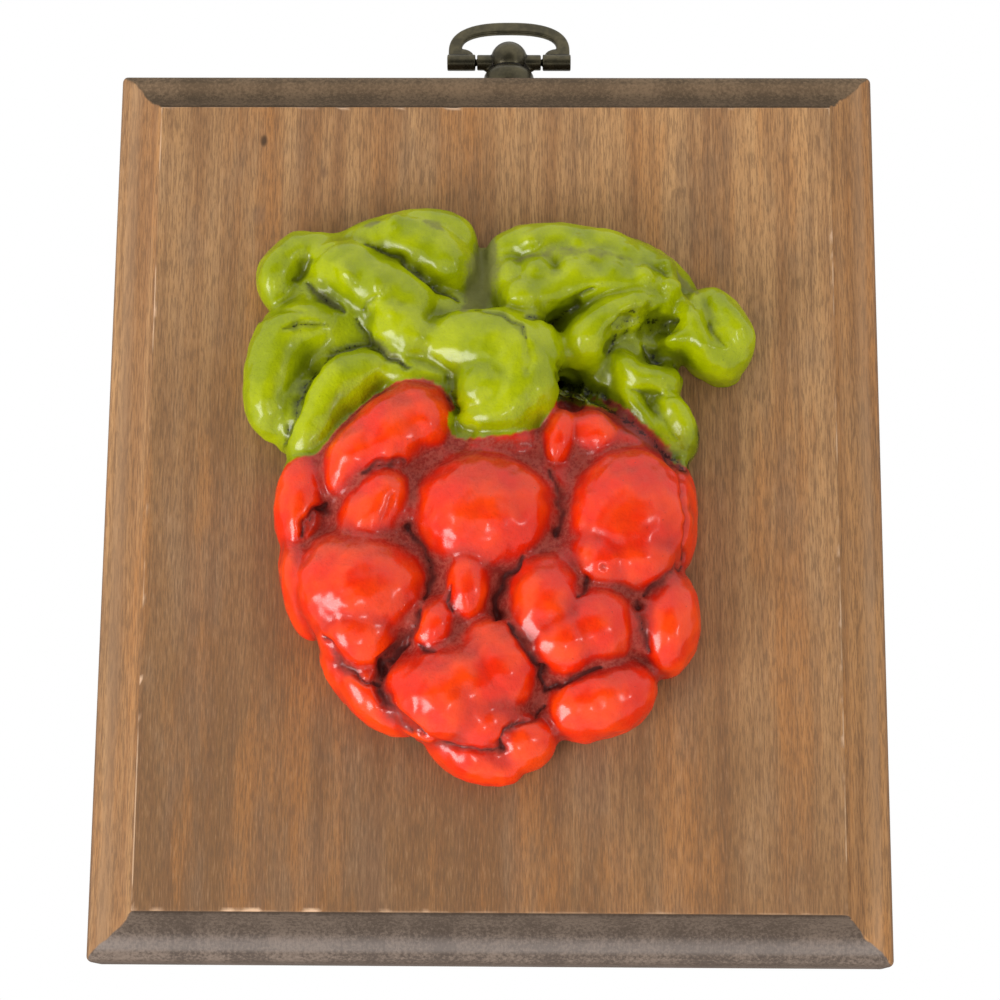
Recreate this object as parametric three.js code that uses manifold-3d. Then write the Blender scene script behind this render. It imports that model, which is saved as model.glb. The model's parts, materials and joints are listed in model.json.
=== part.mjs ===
// Decorative wall plaque: a moulded wooden board, a cast and painted berry with
// two leaves glued to its face, and a brass bail hanger on its top edge.
//
// Units are millimetres. +X is to the right, +Z is up and the face looks along -Y.
// The origin is the centre of the flat back, where the plaque lies on a wall.

import * as THREE from 'three';
import { mergeVertices } from 'three/addons/utils/BufferGeometryUtils.js';
import Module from 'manifold-3d';

const wasm = await Module();
wasm.setup();

// ---------------------------------------------------------------- driving sizes

const BOARD = {
  width: 152.5,
  height: 178,
  thickness: 19,
  cornerRadius: 1.2,
  cornerSteps: 4,
};

const MOULDING = {
  width: 9.3, // from the outer side to the edge of the raised field
  depth: 8.2, // from the field back to the top of the square side
  roundRadius: 3, // convex nose at the outside
  stepWidth: 0.7, // small flat at the foot of the step
  stepHeight: 0.8, // step up to the field
  arcSteps: 5,
};

const FIELD = BOARD.thickness; // height of the face above the back
const TOP = BOARD.height / 2;

const HANGER = {
  x: 2.6, // the hanger sits a little off the middle
  y: -(BOARD.thickness - MOULDING.depth) / 2, // middle of the flat top edge
  pivotHeight: 5.75, // pivot axis above the top edge
  flangeRadius: 5.2,
  neckRadius: 3.4,
  ballRadius: 3.5,
  ballRise: 0.9, // the ball's centre is above the pivot axis
  barrelRadius: 1.6,
  barrelHalf: 6.6,
  boreRadius: 1.0,
  boreDepth: 2.2,
};

const BAIL = {
  lean: 18, // degrees that it leans back from upright
  halfWidth: 12.55,
  height: 10.5, // from the pivot axis to the top of the arch
  band: 2.8,
  thickness: 1.5,
  bevel: 0.3,
  knuckleRadius: 1.68,
  knuckleInner: 6.95,
  knuckleOuter: 12.75,
  pinRadius: 0.7,
  pinTip: 5.1,
};

// The relief is a heap of soft swellings. Each is a ball drawn out along a short
// path on the face: half widths across the path, and a crown height above the
// field, are given at even steps along it. "root" is the height of its widest part.

const BERRY_BODY = [
  { at: [-0.8, -6], half: [38, 29], turn: 0, crown: 12, root: 0 },
  { at: [-1, -29], half: [29, 20], turn: 0, crown: 10.5, root: 0 },
  { at: [25, 6], half: [16, 9.5], turn: -48, crown: 10, root: 1 },
  { at: [-29, 4], half: [13, 9], turn: 50, crown: 9.5, root: 1 },
];

const DRUPELETS = [
  { at: [-1, -4.5], half: [12.7, 10.8], turn: 0, crown: 20, root: 8 },
  { at: [25.5, -6.6], half: [11.4, 12.8], turn: -15, crown: 18.5, root: 7 },
  { at: [21, -13], half: [6.4, 7], turn: 0, crown: 17, root: 7 },
  { at: [-25, -19], half: [11.6, 10], turn: -10, crown: 18.5, root: 7 },
  { at: [-24, -28], half: [6.4, 8.4], turn: 15, crown: 14, root: 5 },
  { at: [-8, -39], half: [11.4, 9], turn: -6, crown: 17.5, root: 6.5 },
  { at: [0.2, -35], half: [9, 9], turn: -30, crown: 17.5, root: 6.5 },
  { at: [10.4, -23.5], half: [8.2, 10.6], turn: 8, crown: 19, root: 8 },
  { at: [19, -27], half: [8.4, 7.6], turn: 0, crown: 17.5, root: 7 },
  { at: [-23.5, -4.2], half: [6, 7.4], turn: 8, crown: 14.5, root: 6 },
  { at: [-4.8, -20], half: [4.2, 6.8], turn: 0, crown: 17, root: 9 },
  { at: [-11.5, -27], half: [4.8, 6], turn: -22, crown: 15, root: 8 },
  { at: [-36.2, -2], half: [5, 10.4], turn: -4, crown: 11, root: 3 },
  { at: [-35.6, -18.5], half: [4, 10.6], turn: 12, crown: 9.5, root: 3 },
  { at: [33.2, -25], half: [6.4, 10.6], turn: -2, crown: 12.5, root: 3.5 },
  { at: [35.2, -4.5], half: [4.2, 12], turn: 0, crown: 9, root: 3 },
  { at: [20.4, -39.6], half: [11.4, 7], turn: 17, crown: 13, root: 4 },
  { at: [6, -47.8], half: [7.2, 6], turn: 22, crown: 11, root: 3.5 },
  { at: [-3, -50.4], half: [10, 5], turn: -22, crown: 9.5, root: 3 },
  { at: [-23.2, -38], half: [12, 5.2], turn: -46, crown: 9.5, root: 3 },
  { at: [12.6, 10], half: [3.4, 7.6], turn: -6, crown: 14.5, root: 8 },
  { at: [19, 9.5], half: [5.4, 5.6], turn: 20, crown: 13.5, root: 7 },
  { at: [27, 8.6], half: [11, 5.4], turn: -42, crown: 10, root: 4 },
  { at: [2.5, 7.3], half: [9, 3.4], turn: 8, crown: 14, root: 8 },
];

const TOP_DRUPELET = {
  path: [[-30.5, -1], [-27, 6], [-19.5, 12.6], [-9.6, 17]],
  half: [3.5, 6.6, 7.8, 6.4],
  crown: [12, 16, 17, 14],
  root: 6,
};

const LEAF_BEDS = [
  { at: [-25.5, 36], half: [19, 18], turn: 25, crown: 7, root: 0 },
  { at: [-12, 32], half: [14, 11], turn: 0, crown: 8, root: 0 },
  { at: [20.5, 40], half: [20, 13], turn: -6, crown: 7, root: 0 },
  { at: [24, 27], half: [12, 14], turn: 30, crown: 7, root: 0 },
];

const STEM_HOLLOW = {
  path: [[-2, 50.5], [-1.8, 44], [-2, 37], [2, 31]],
  half: [1.6, 4, 6, 6],
  crown: [3, 4.5, 6, 8],
  root: 0,
};

const LEFT_LEAF = [
  {
    path: [[-32, 50.5], [-21, 49.6], [-12, 47.6], [-7.4, 42], [-6.4, 36.6]],
    half: [2.8, 5, 7, 5.6, 3],
    crown: [8, 11, 12, 12, 9],
    root: 3,
  },
  {
    path: [[-28, 52], [-18, 53.2], [-8, 52.4], [-4.6, 46]],
    half: [2, 3, 3.6, 2.8],
    crown: [7, 9, 8, 7],
    root: 2.5,
  },
  {
    path: [[-36.6, 46.6], [-28, 44.5], [-21, 40], [-14, 37], [-9.6, 33.5]],
    half: [4.4, 5.8, 6.4, 5.6, 3.4],
    crown: [11, 14, 15, 14.5, 13],
    root: 5,
  },
  {
    path: [[-25, 37], [-19, 32.5], [-14.6, 28], [-13.4, 23.6]],
    half: [4.4, 6, 4.6, 3],
    crown: [12, 14, 13.5, 12],
    root: 6,
  },
  {
    path: [[-30, 51], [-38, 48], [-42.3, 43.5], [-41.6, 35.6]],
    half: [2.6, 3.6, 4, 3.6],
    crown: [8, 9, 9.5, 8.5],
    root: 2.5,
  },
  {
    path: [[-24, 31], [-33.6, 33.6], [-40.4, 31], [-43.6, 23], [-44, 15.4], [-43, 9.6]],
    half: [3.2, 5, 5.2, 4.8, 4.4, 3.4],
    crown: [10, 10.5, 11, 10.5, 9.5, 7.5],
    root: 3,
  },
  {
    path: [[-19.6, 24], [-28.2, 22.6], [-33.2, 16], [-37.2, 8.8], [-38.6, 3.6]],
    half: [4.4, 6.2, 5.4, 3.8, 2.8],
    crown: [12, 12, 11.5, 9.5, 7],
    root: 4,
  },
];

const TONGUE = [
  {
    path: [[-15, 27.4], [-5, 27.2], [3.2, 25.4], [6, 19.6], [2, 14.2], [-7, 12]],
    half: [6, 7, 8, 7.4, 5.6, 3.4],
    crown: [15, 17.5, 19, 19, 18, 16.5],
    root: 11,
  },
  {
    path: [[-2, 32.6], [6, 31], [10.6, 26], [10.6, 17]],
    half: [2, 3.6, 3.2, 2.6],
    crown: [11, 14, 15, 15],
    root: 9,
  },
  {
    path: [[-7.4, 17.4], [-4, 17], [0, 18]],
    half: [2, 3, 3.4],
    crown: [14.5, 16, 17],
    root: 12,
  },
];

const RIGHT_LEAF = [
  {
    path: [[-0.2, 50.6], [9, 51.2], [20, 50.4], [30, 48.2], [39.6, 42.6]],
    half: [4, 3.8, 3.4, 3.4, 3],
    crown: [7.5, 8.5, 8.5, 8.5, 7.5],
    root: 2,
  },
  {
    path: [[1.4, 49], [3.6, 43], [5, 35.4]],
    half: [4, 4.6, 4.6],
    crown: [7.5, 11, 11.5],
    root: 3,
  },
  {
    path: [[1.6, 41.6], [10, 41], [20, 42.8], [29, 43], [37.4, 41]],
    half: [4.4, 6, 5.2, 4.6, 3.4],
    crown: [11, 13, 13.5, 13, 11],
    root: 4,
  },
  {
    path: [[3, 38], [9, 38], [16.4, 40]],
    half: [4.4, 5, 3.6],
    crown: [11.5, 13.5, 12.5],
    root: 5,
  },
  {
    path: [[13, 26.4], [18.2, 31.6], [24, 36.8], [30.6, 39.2], [37, 39.6]],
    half: [5.4, 6.2, 5.6, 4.8, 3.6],
    crown: [13, 14.5, 14.5, 13.5, 11],
    root: 5,
  },
  {
    path: [[38.6, 41.4], [41, 35.5], [44, 29.2], [47.8, 23.4]],
    half: [4, 5.8, 6.2, 5],
    crown: [8, 11, 11.5, 9],
    root: 3,
  },
  {
    path: [[32, 29.4], [38, 29.6], [43, 30.6]],
    half: [2, 3.2, 4.4],
    crown: [7, 9.5, 11],
    root: 3,
  },
  {
    path: [[42.6, 38.6], [46.6, 36], [49.2, 28]],
    half: [2.2, 2.4, 2.4],
    crown: [6, 7, 7],
    root: 2,
  },
  {
    path: [[27.4, 32], [25.6, 26], [29, 22.6], [33.5, 22.4], [37.8, 25]],
    half: [2.8, 3.4, 3.8, 3.8, 3],
    crown: [9.5, 11, 11.5, 11, 9],
    root: 3,
  },
  {
    path: [[21, 20.8], [27.5, 17], [32.6, 12], [36.8, 5.2]],
    half: [3.2, 3.4, 3.2, 2.8],
    crown: [10.5, 10.5, 10, 7.5],
    root: 3,
  },
  {
    path: [[27.5, 21], [33.5, 17.4], [37, 12.6], [38, 5.8]],
    half: [3, 3.6, 3, 2.4],
    crown: [9.5, 10.5, 9.5, 7],
    root: 3,
  },
  {
    path: [[12.6, 19.6], [20, 16], [27.5, 11.8], [35, 4.8]],
    half: [1.4, 1.8, 1.8, 1.6],
    crown: [13, 11.5, 10, 7.5],
    root: 5,
  },
];

// Facets round and along a swelling, by its half width.
const MESH_STEPS = [
  { under: 4.5, around: 8, along: 6 },
  { under: 8, around: 10, along: 7 },
  { under: Infinity, around: 14, along: 9 },
];

// ---------------------------------------------------------------- helpers

const radians = THREE.MathUtils.degToRad;

function toSolid(geometry) {
  const bare = geometry.clone();
  bare.deleteAttribute('normal');
  bare.deleteAttribute('uv');
  const merged = mergeVertices(bare, 1e-5);
  const mesh = new wasm.Mesh({
    numProp: 3,
    vertProperties: new Float32Array(merged.attributes.position.array),
    triVerts: new Uint32Array(merged.index.array),
  });
  return new wasm.Manifold(mesh);
}

function toGeometry(solid) {
  const mesh = solid.getMesh();
  const geometry = new THREE.BufferGeometry();
  geometry.setAttribute('position', new THREE.BufferAttribute(mesh.vertProperties, 3));
  geometry.setIndex(new THREE.BufferAttribute(mesh.triVerts, 1));
  return geometry;
}

function union(geometries) {
  return geometries.map(toSolid).reduce((sum, solid) => sum.add(solid));
}

function finish(color, roughness, metalness) {
  return new THREE.MeshStandardMaterial({ color, roughness, metalness });
}

// Value at t (0 to 1) of a list of values that stand at even steps.
function along(values, t) {
  const place = t * (values.length - 1);
  const first = Math.min(Math.floor(place), values.length - 2);
  return THREE.MathUtils.lerp(values[first], values[first + 1], place - first);
}

function remap(geometry, move) {
  const position = geometry.attributes.position;
  const point = new THREE.Vector3();
  for (let i = 0; i < position.count; i += 1) {
    point.fromBufferAttribute(position, i);
    const moved = move(point, i);
    position.setXYZ(i, moved.x, moved.y, moved.z);
  }
  return geometry;
}

function roundCylinder(radius, length, segments) {
  return new THREE.CylinderGeometry(radius, radius, length, segments).rotateZ(Math.PI / 2);
}

// ---------------------------------------------------------------- board

// Section of the board from the middle of the back, round the side and the
// moulding, to the middle of the face: inset from the outer side, and depth.
function boardSection() {
  const { width, depth, roundRadius, stepWidth, stepHeight, arcSteps } = MOULDING;
  const sideTop = FIELD - depth;
  const coveWidth = width - roundRadius - stepWidth;
  const coveFoot = FIELD - stepHeight;
  const noseTop = sideTop + roundRadius;
  const section = [[0, 0], [0, sideTop]];
  for (let i = 1; i <= arcSteps; i += 1) {
    const angle = (Math.PI / 2) * (i / arcSteps);
    section.push([roundRadius * (1 - Math.cos(angle)), sideTop + roundRadius * Math.sin(angle)]);
  }
  for (let i = 1; i <= arcSteps; i += 1) {
    const angle = (Math.PI / 2) * (i / arcSteps);
    const rise = (coveFoot - noseTop) * (1 - Math.cos(angle));
    section.push([roundRadius + coveWidth * Math.sin(angle), noseTop + rise]);
  }
  section.push([width, coveFoot]);
  section.push([width, FIELD]);
  return section;
}

// Point of a rounded rectangle, inset from the board's outline.
function outlinePoint(step, inset) {
  const { width, height, cornerRadius, cornerSteps } = BOARD;
  const corner = Math.floor(step / cornerSteps) % 4;
  const turn = (corner + (step % cornerSteps) / (cornerSteps - 1)) * (Math.PI / 2);
  const radius = Math.max(cornerRadius - inset, 0.1);
  const signX = corner === 0 || corner === 3 ? 1 : -1;
  const signZ = corner < 2 ? 1 : -1;
  return {
    x: signX * (width / 2 - inset - radius) + radius * Math.cos(turn),
    z: signZ * (height / 2 - inset - radius) + radius * Math.sin(turn),
  };
}

function board() {
  const section = boardSection();
  const around = 4 * BOARD.cornerSteps;
  const profile = section.map(([inset, level]) => new THREE.Vector2(100 - inset, level));
  profile.unshift(new THREE.Vector2(0, 0));
  profile.push(new THREE.Vector2(0, FIELD));
  const lathe = new THREE.LatheGeometry(profile, around);
  const rows = profile.length;
  remap(lathe, (point, index) => {
    const row = index % rows;
    const step = Math.floor(index / rows) % around;
    if (row === 0 || row === rows - 1) {
      return { x: 0, y: -point.y, z: 0 };
    }
    const spot = outlinePoint(step, section[row - 1][0]);
    return { x: spot.x, y: -point.y, z: spot.z };
  });
  return toGeometry(toSolid(lathe));
}

// ---------------------------------------------------------------- berry relief

function sphereFor(halfWidth) {
  const steps = MESH_STEPS.find((entry) => halfWidth < entry.under);
  return new THREE.SphereGeometry(1, steps.around, steps.along);
}

// An egg-shaped swelling: half sizes across and up the face, turned on the face.
function swelling({ at, half, turn, crown, root }) {
  const geometry = sphereFor(Math.min(half[0], half[1]));
  geometry.rotateX(Math.PI / 2);
  geometry.scale(half[0], half[1], crown - root);
  geometry.rotateZ(radians(turn));
  return remap(geometry, (point) => ({
    x: at[0] + point.x,
    y: -(FIELD + root + point.z),
    z: at[1] + point.y,
  }));
}

// A ball drawn out along a path: its poles are the path's ends.
function lobe({ path, half, crown, root }) {
  const line = new THREE.CatmullRomCurve3(path.map(([x, z]) => new THREE.Vector3(x, 0, z)));
  const bluntness = 3.4;
  return remap(sphereFor(Math.max(...half)), (point) => {
    const t = THREE.MathUtils.clamp((point.y + 1) / 2, 0, 1);
    const spot = line.getPoint(t);
    const heading = line.getTangent(t);
    const ring = Math.hypot(point.x, point.z);
    const girth = Math.pow(Math.max(0, 1 - Math.pow(Math.abs(point.y), bluntness)), 1 / 2);
    const side = ring > 0 ? (point.x / ring) * girth : 0;
    const rise = ring > 0 ? (point.z / ring) * girth : 0;
    const width = along(half, t) * side;
    return {
      x: spot.x - heading.z * width,
      y: -(FIELD + root + (along(crown, t) - root) * rise),
      z: spot.z + heading.x * width,
    };
  });
}

function outwards(geometry) {
  const solid = toSolid(geometry);
  if (solid.volume() > 0) {
    return geometry;
  }
  const index = geometry.index.array;
  for (let i = 0; i < index.length; i += 3) {
    [index[i], index[i + 1]] = [index[i + 1], index[i]];
  }
  return geometry;
}

function berryRelief() {
  const eggs = [...BERRY_BODY, ...LEAF_BEDS, ...DRUPELETS].map(swelling);
  const lobes = [TOP_DRUPELET, STEM_HOLLOW, ...LEFT_LEAF, ...TONGUE, ...RIGHT_LEAF].map(lobe);
  const heap = union([...eggs, ...lobes].map(outwards));
  const reach = 60;
  const block = new THREE.BoxGeometry(2 * reach, reach, 2.2 * reach);
  block.translate(0, -(FIELD + reach / 2), 0);
  return toGeometry(heap.intersect(toSolid(block)));
}

// ---------------------------------------------------------------- hanger

function hangerPost() {
  const { pivotHeight, flangeRadius, neckRadius, ballRadius, ballRise } = HANGER;
  const { barrelRadius, barrelHalf, boreRadius, boreDepth } = HANGER;
  const foot = new THREE.LatheGeometry(
    [
      new THREE.Vector2(0, 0),
      new THREE.Vector2(flangeRadius, 0),
      new THREE.Vector2(flangeRadius, 0.9),
      new THREE.Vector2(flangeRadius - 0.3, 1.9),
      new THREE.Vector2(neckRadius + 0.9, 2.9),
      new THREE.Vector2(neckRadius, 3.8),
      new THREE.Vector2(neckRadius - 0.4, pivotHeight),
      new THREE.Vector2(0, pivotHeight),
    ],
    24,
  );
  foot.rotateX(Math.PI / 2);
  const ball = new THREE.SphereGeometry(ballRadius, 20, 12);
  ball.translate(0, 0, pivotHeight + ballRise);
  const barrel = roundCylinder(barrelRadius, 2 * barrelHalf, 20);
  barrel.translate(0, 0, pivotHeight);
  const cradle = new THREE.SphereGeometry(1, 20, 10);
  cradle.scale(barrelHalf, barrelRadius, 2.5);
  cradle.translate(0, 0, pivotHeight - 0.4);
  let post = union([outwards(foot), ball, barrel, cradle].map(outwards));
  for (const side of [-1, 1]) {
    const bore = roundCylinder(boreRadius, 2 * boreDepth, 12);
    bore.translate(side * barrelHalf, 0, pivotHeight);
    post = post.subtract(toSolid(bore));
  }
  return toGeometry(post);
}

// Half outline of the arch from its foot to its crown, as a superellipse.
function archPoints(halfWidth, foot, height, steps) {
  const points = [];
  for (let i = 0; i <= steps; i += 1) {
    const angle = (Math.PI * i) / steps;
    const c = Math.cos(angle);
    const s = Math.sin(angle);
    const x = halfWidth * Math.sign(c) * Math.pow(Math.abs(c), 0.8);
    points.push(new THREE.Vector2(x, foot + (height - foot) * Math.pow(s, 0.8)));
  }
  return points;
}

function hangerBail() {
  const { halfWidth, height, band, thickness, bevel } = BAIL;
  const { knuckleRadius, knuckleInner, knuckleOuter, pinRadius, pinTip } = BAIL;
  const outer = archPoints(halfWidth, 2.6, height, 28);
  outer.push(new THREE.Vector2(-halfWidth, 0), new THREE.Vector2(halfWidth, 0));
  const plate = new THREE.Shape(outer);
  const opening = archPoints(halfWidth - band, 3.6, height - band, 24);
  opening.push(new THREE.Vector2(-knuckleInner - 0.9, 1.7));
  opening.push(new THREE.Vector2(-knuckleInner, 0.8));
  opening.push(new THREE.Vector2(-knuckleInner, -2));
  opening.push(new THREE.Vector2(knuckleInner, -2));
  opening.push(new THREE.Vector2(knuckleInner, 0.8));
  opening.push(new THREE.Vector2(knuckleInner + 0.9, 1.7));
  const sheet = new THREE.ExtrudeGeometry(plate, {
    depth: thickness - 2 * bevel,
    bevelThickness: bevel,
    bevelSize: bevel,
    bevelOffset: -bevel,
    bevelSegments: 2,
  });
  sheet.translate(0, 0, bevel - thickness / 2);
  const cutter = new THREE.ExtrudeGeometry(new THREE.Shape(opening), { depth: 8, bevelEnabled: false });
  cutter.translate(0, 0, -4);
  let bail = toSolid(sheet).subtract(toSolid(cutter));
  for (const side of [-1, 1]) {
    const knuckle = roundCylinder(knuckleRadius, knuckleOuter - knuckleInner, 20);
    knuckle.translate(side * (knuckleOuter + knuckleInner) / 2, 0, 0);
    const pin = roundCylinder(pinRadius, knuckleInner - pinTip + 1, 10);
    pin.translate(side * (knuckleInner + 1 + pinTip) / 2, 0, 0);
    bail = bail.add(toSolid(knuckle)).add(toSolid(pin));
  }
  const geometry = toGeometry(bail);
  // Stand the flat arch up and lean it back about the pivot.
  geometry.rotateX(Math.PI / 2 - radians(BAIL.lean));
  return geometry;
}

// ---------------------------------------------------------------- assembly

function named(name, geometry, material) {
  const mesh = new THREE.Mesh(geometry, material);
  mesh.name = name;
  return mesh;
}

const wood = finish('#a97c58', 0.6, 0);
const paintedCast = finish('#d8301a', 0.25, 0);
const brass = finish('#5b5340', 0.4, 0.9);

const plaque = new THREE.Group();
plaque.add(named('board', board(), wood));
plaque.add(named('berry_relief', berryRelief(), paintedCast));

const hanger = new THREE.Group();
hanger.position.set(HANGER.x, HANGER.y, TOP);
hanger.add(named('hanger_post', hangerPost(), brass));
const bail = named('hanger_bail', hangerBail(), brass.clone());
bail.position.z = HANGER.pivotHeight;
hanger.add(bail);
plaque.add(hanger);

export default plaque;
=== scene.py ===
# %% [markdown]
# # A wall plaque with a painted berry
# This lesson dresses a small wall plaque: a moulded wooden board, a plaster berry with
# two leaves, painted and antiqued, and a brass bail hanger. The solid model of the same
# plaque is loaded first and never changed. It gives every size and place, and the pieces
# made here stand exactly where its solids stand.

# %% Load the solid model
import json
import math
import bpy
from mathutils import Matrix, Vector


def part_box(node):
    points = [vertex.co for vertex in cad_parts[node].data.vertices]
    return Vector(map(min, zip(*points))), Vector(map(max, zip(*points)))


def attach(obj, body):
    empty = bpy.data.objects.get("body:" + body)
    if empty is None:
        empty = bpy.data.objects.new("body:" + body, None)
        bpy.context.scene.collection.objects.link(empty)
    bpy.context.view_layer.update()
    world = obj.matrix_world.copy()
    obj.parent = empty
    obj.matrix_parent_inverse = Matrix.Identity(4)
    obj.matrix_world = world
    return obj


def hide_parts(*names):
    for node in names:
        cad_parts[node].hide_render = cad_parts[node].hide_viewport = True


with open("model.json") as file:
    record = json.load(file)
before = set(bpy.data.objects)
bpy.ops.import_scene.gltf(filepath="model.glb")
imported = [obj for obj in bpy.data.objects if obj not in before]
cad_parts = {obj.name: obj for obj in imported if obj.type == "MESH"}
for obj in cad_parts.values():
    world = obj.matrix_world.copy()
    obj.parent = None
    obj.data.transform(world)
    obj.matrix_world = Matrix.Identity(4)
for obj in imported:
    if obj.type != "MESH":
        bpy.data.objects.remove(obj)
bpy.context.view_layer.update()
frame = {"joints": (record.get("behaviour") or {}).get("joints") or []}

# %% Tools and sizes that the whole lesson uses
from types import SimpleNamespace

import bmesh
import bpy
import numpy as np
from mathutils import Matrix, Vector

MM = 0.001
board_low, board_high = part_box("board")
WIDTH = (board_high.x - board_low.x) / MM
HEIGHT = (board_high.z - board_low.z) / MM
THICKNESS = -board_low.y / MM
pivot = Vector(frame["joints"][0]["pos_m"]) / MM
print(f"board {WIDTH:.1f} x {HEIGHT:.1f} x {THICKNESS:.1f} mm, bail pivot at {pivot}")

# %% [markdown]
# ## Shader sums as Python
# A material's nodes are easier to read as sums. The class below wraps one socket: adding
# or multiplying two of them adds a Math node, and every other node comes from one method.


# %% A socket that can be added and multiplied
class Wire:
    """A value that runs between a material's nodes."""

    def __init__(self, tree, socket=None):
        self.tree = tree
        self.socket = socket

    def node(self, kind, settings=None, inputs=None, output=0):
        """Add a node: its settings first, then the values or links of its sockets."""
        made = self.tree.nodes.new(kind)
        for name, value in (settings or {}).items():
            setattr(made, name, value)
        for key, value in (inputs or {}).items():
            if isinstance(value, Wire):
                self.tree.links.new(value.socket, made.inputs[key])
            else:
                made.inputs[key].default_value = value
        return Wire(self.tree, made.outputs[output])

    def math(self, operation, *values):
        """A Math node on one or two values, each a wire or a number."""
        return self.node("ShaderNodeMath", {"operation": operation}, dict(enumerate(values)))

    def __add__(self, other):
        return self.math("ADD", self, other)

    def __sub__(self, other):
        return self.math("SUBTRACT", self, other)

    def __rsub__(self, other):
        return self.math("SUBTRACT", other, self)

    def __mul__(self, other):
        return self.math("MULTIPLY", self, other)

    def __pow__(self, other):
        return self.math("POWER", self, other)

    def __abs__(self):
        return self.math("ABSOLUTE", self)

    __radd__ = __add__
    __rmul__ = __mul__

    def least(self, other):
        """The smaller of two values."""
        return self.math("MINIMUM", self, other)

    def most(self, other):
        """The larger of two values."""
        return self.math("MAXIMUM", self, other)

    def step(self, low, high):
        """0 below low, 1 above high, and a smooth rise between them."""
        settings = {"interpolation_type": "SMOOTHSTEP"}
        return self.node("ShaderNodeMapRange", settings, {0: self, 1: low, 2: high})

    def past(self, low, high):
        """The same step for a length, with low and high in millimetres."""
        return self.step(low * MM, high * MM)

    def blend(self, first, second):
        """One colour where this is 0, the other where it is 1."""
        settings = {"data_type": "RGBA", "clamp_factor": True}
        return self.node("ShaderNodeMix", settings, {0: self, 6: first, 7: second}, 2)

    def dot(self, direction):
        """How far a vector points along a direction."""
        inputs = {0: self, 1: direction}
        return self.node("ShaderNodeVectorMath", {"operation": "DOT_PRODUCT"}, inputs, "Value")

    def attribute(self, name):
        """A number that the mesh stores at each of its points."""
        return self.node("ShaderNodeAttribute", {"attribute_name": name}, output="Fac")

    def place(self, scale=(1, 1, 1), shift=(0, 0, 0)):
        """The point on the object, in metres, stretched to draw out a pattern."""
        where = self.node("ShaderNodeTexCoord", output="Object")
        inputs = {"Vector": where, "Location": shift, "Scale": scale}
        return self.node("ShaderNodeMapping", None, inputs)

    def split(self):
        """The X, Y and Z of a vector."""
        first = self.node("ShaderNodeSeparateXYZ", None, {"Vector": self})
        return [Wire(self.tree, socket) for socket in first.socket.node.outputs]

    def noise(self, where, scale, detail=2.0, roughness=0.5):
        """Cloudy noise, about 0.5 on average. Its scale is in lumps for each metre."""
        inputs = {"Vector": where, "Scale": scale, "Detail": detail, "Roughness": roughness}
        return self.node("ShaderNodeTexNoise", None, inputs)


# %% Colours, and a material to start from
def srgb(red, green, blue):
    """A colour given from 0 to 255, as the linear light that shaders use."""
    values = [c / 255 for c in (red, green, blue)]
    linear = [c / 12.92 if c < 0.04045 else ((c + 0.055) / 1.055) ** 2.4 for c in values]
    return (*linear, 1)


def lay_over(colour, layers):
    """Lay tones over a colour in turn. Each hides a share of what lies under it."""
    for share, tone in layers:
        colour = share.blend(colour, tone)
    return colour


def start_material(name):
    """A new material, a wire to start its sums from, and its Principled shader."""
    material = bpy.data.materials.new(name)
    material.use_nodes = True
    tree = material.node_tree
    shader = tree.nodes["Principled BSDF"]
    return material, Wire(tree), shader


def plug(wire, shader, socket):
    """Feed one of the shader's sockets from a wire."""
    wire.tree.links.new(wire.socket, shader.inputs[socket])


def bump(height, strength, distance):
    """Small relief in the shading, distance in metres."""
    inputs = {"Height": height, "Strength": strength, "Distance": distance}
    return height.node("ShaderNodeBump", None, inputs)


# %% [markdown]
# ## The studio
# The plaque is seen from a little below its middle, as you see a thing that hangs just
# above eye level. A long lens keeps its sides nearly straight. The light comes from a
# big window low on the left, whose reflection makes the broad soft highlights on the
# gloss paint, and from two small lamps below, which make the small sharp ones.

# %% The camera
CAMERA_AT = (8.876, -490.653, -105.291)
CAMERA_AIM = (1.573, -THICKNESS, -0.883)
CAMERA_ROLL = math.radians(0.395)
LENS = 90
FILM = 36


def look(at, aim, roll=0.0):
    """A placing that puts an object at one point with its -Z axis towards another."""
    ahead = (Vector(aim) - Vector(at)).normalized()
    turn = ahead.to_track_quat("-Z", "Y").to_matrix().to_4x4()
    return Matrix.Translation(Vector(at) * MM) @ turn @ Matrix.Rotation(roll, 4, "Z")


camera_data = bpy.data.cameras.new("camera")
camera_data.lens = LENS
camera_data.sensor_width = FILM
camera_data.clip_start = 10 * MM
camera = bpy.data.objects.new("camera", camera_data)
camera.matrix_world = look(CAMERA_AT, CAMERA_AIM, CAMERA_ROLL)
bpy.context.scene.collection.objects.link(camera)
bpy.context.scene.camera = camera
print(f"camera {(Vector(CAMERA_AT) - Vector(CAMERA_AIM)).length:.0f} mm from the plaque")

# %% The lights
FACE_MIDDLE = (0, 0, 0)
WINDOW_LIGHT = (1.0, 0.98, 1.0)
# Each lamp: name, place, size, watts, colour.
LAMPS = [
    ("window", (-960, -560, -750), 620, 11.5, WINDOW_LIGHT),
    ("right_lamp", (600, -500, -240), 40, 0.3, (1, 1, 1)),
    ("low_lamp", (15, -600, -540), 40, 0.3, (1, 1, 1)),
]


def soft_light(name, at, size, watts, colour):
    """A square lamp of a given size, in millimetres, that faces the plaque."""
    data = bpy.data.lights.new(name, "AREA")
    data.size = size * MM
    data.energy = watts
    data.color = colour
    lamp = bpy.data.objects.new(name, data)
    lamp.matrix_world = look(at, FACE_MIDDLE)
    bpy.context.scene.collection.objects.link(lamp)


for lamp in LAMPS:
    soft_light(*lamp)
print(f"{len(LAMPS)} lamps")

# %% [markdown]
# The world is plain white behind the plaque. As a source of light it is a pale room,
# brighter overhead, with a dark patch in front where the viewer stands. Gloss paint
# mirrors that patch wherever it faces the viewer, and this keeps its colour deep; in a
# room that is pale all round, every colour would look chalky.

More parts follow.
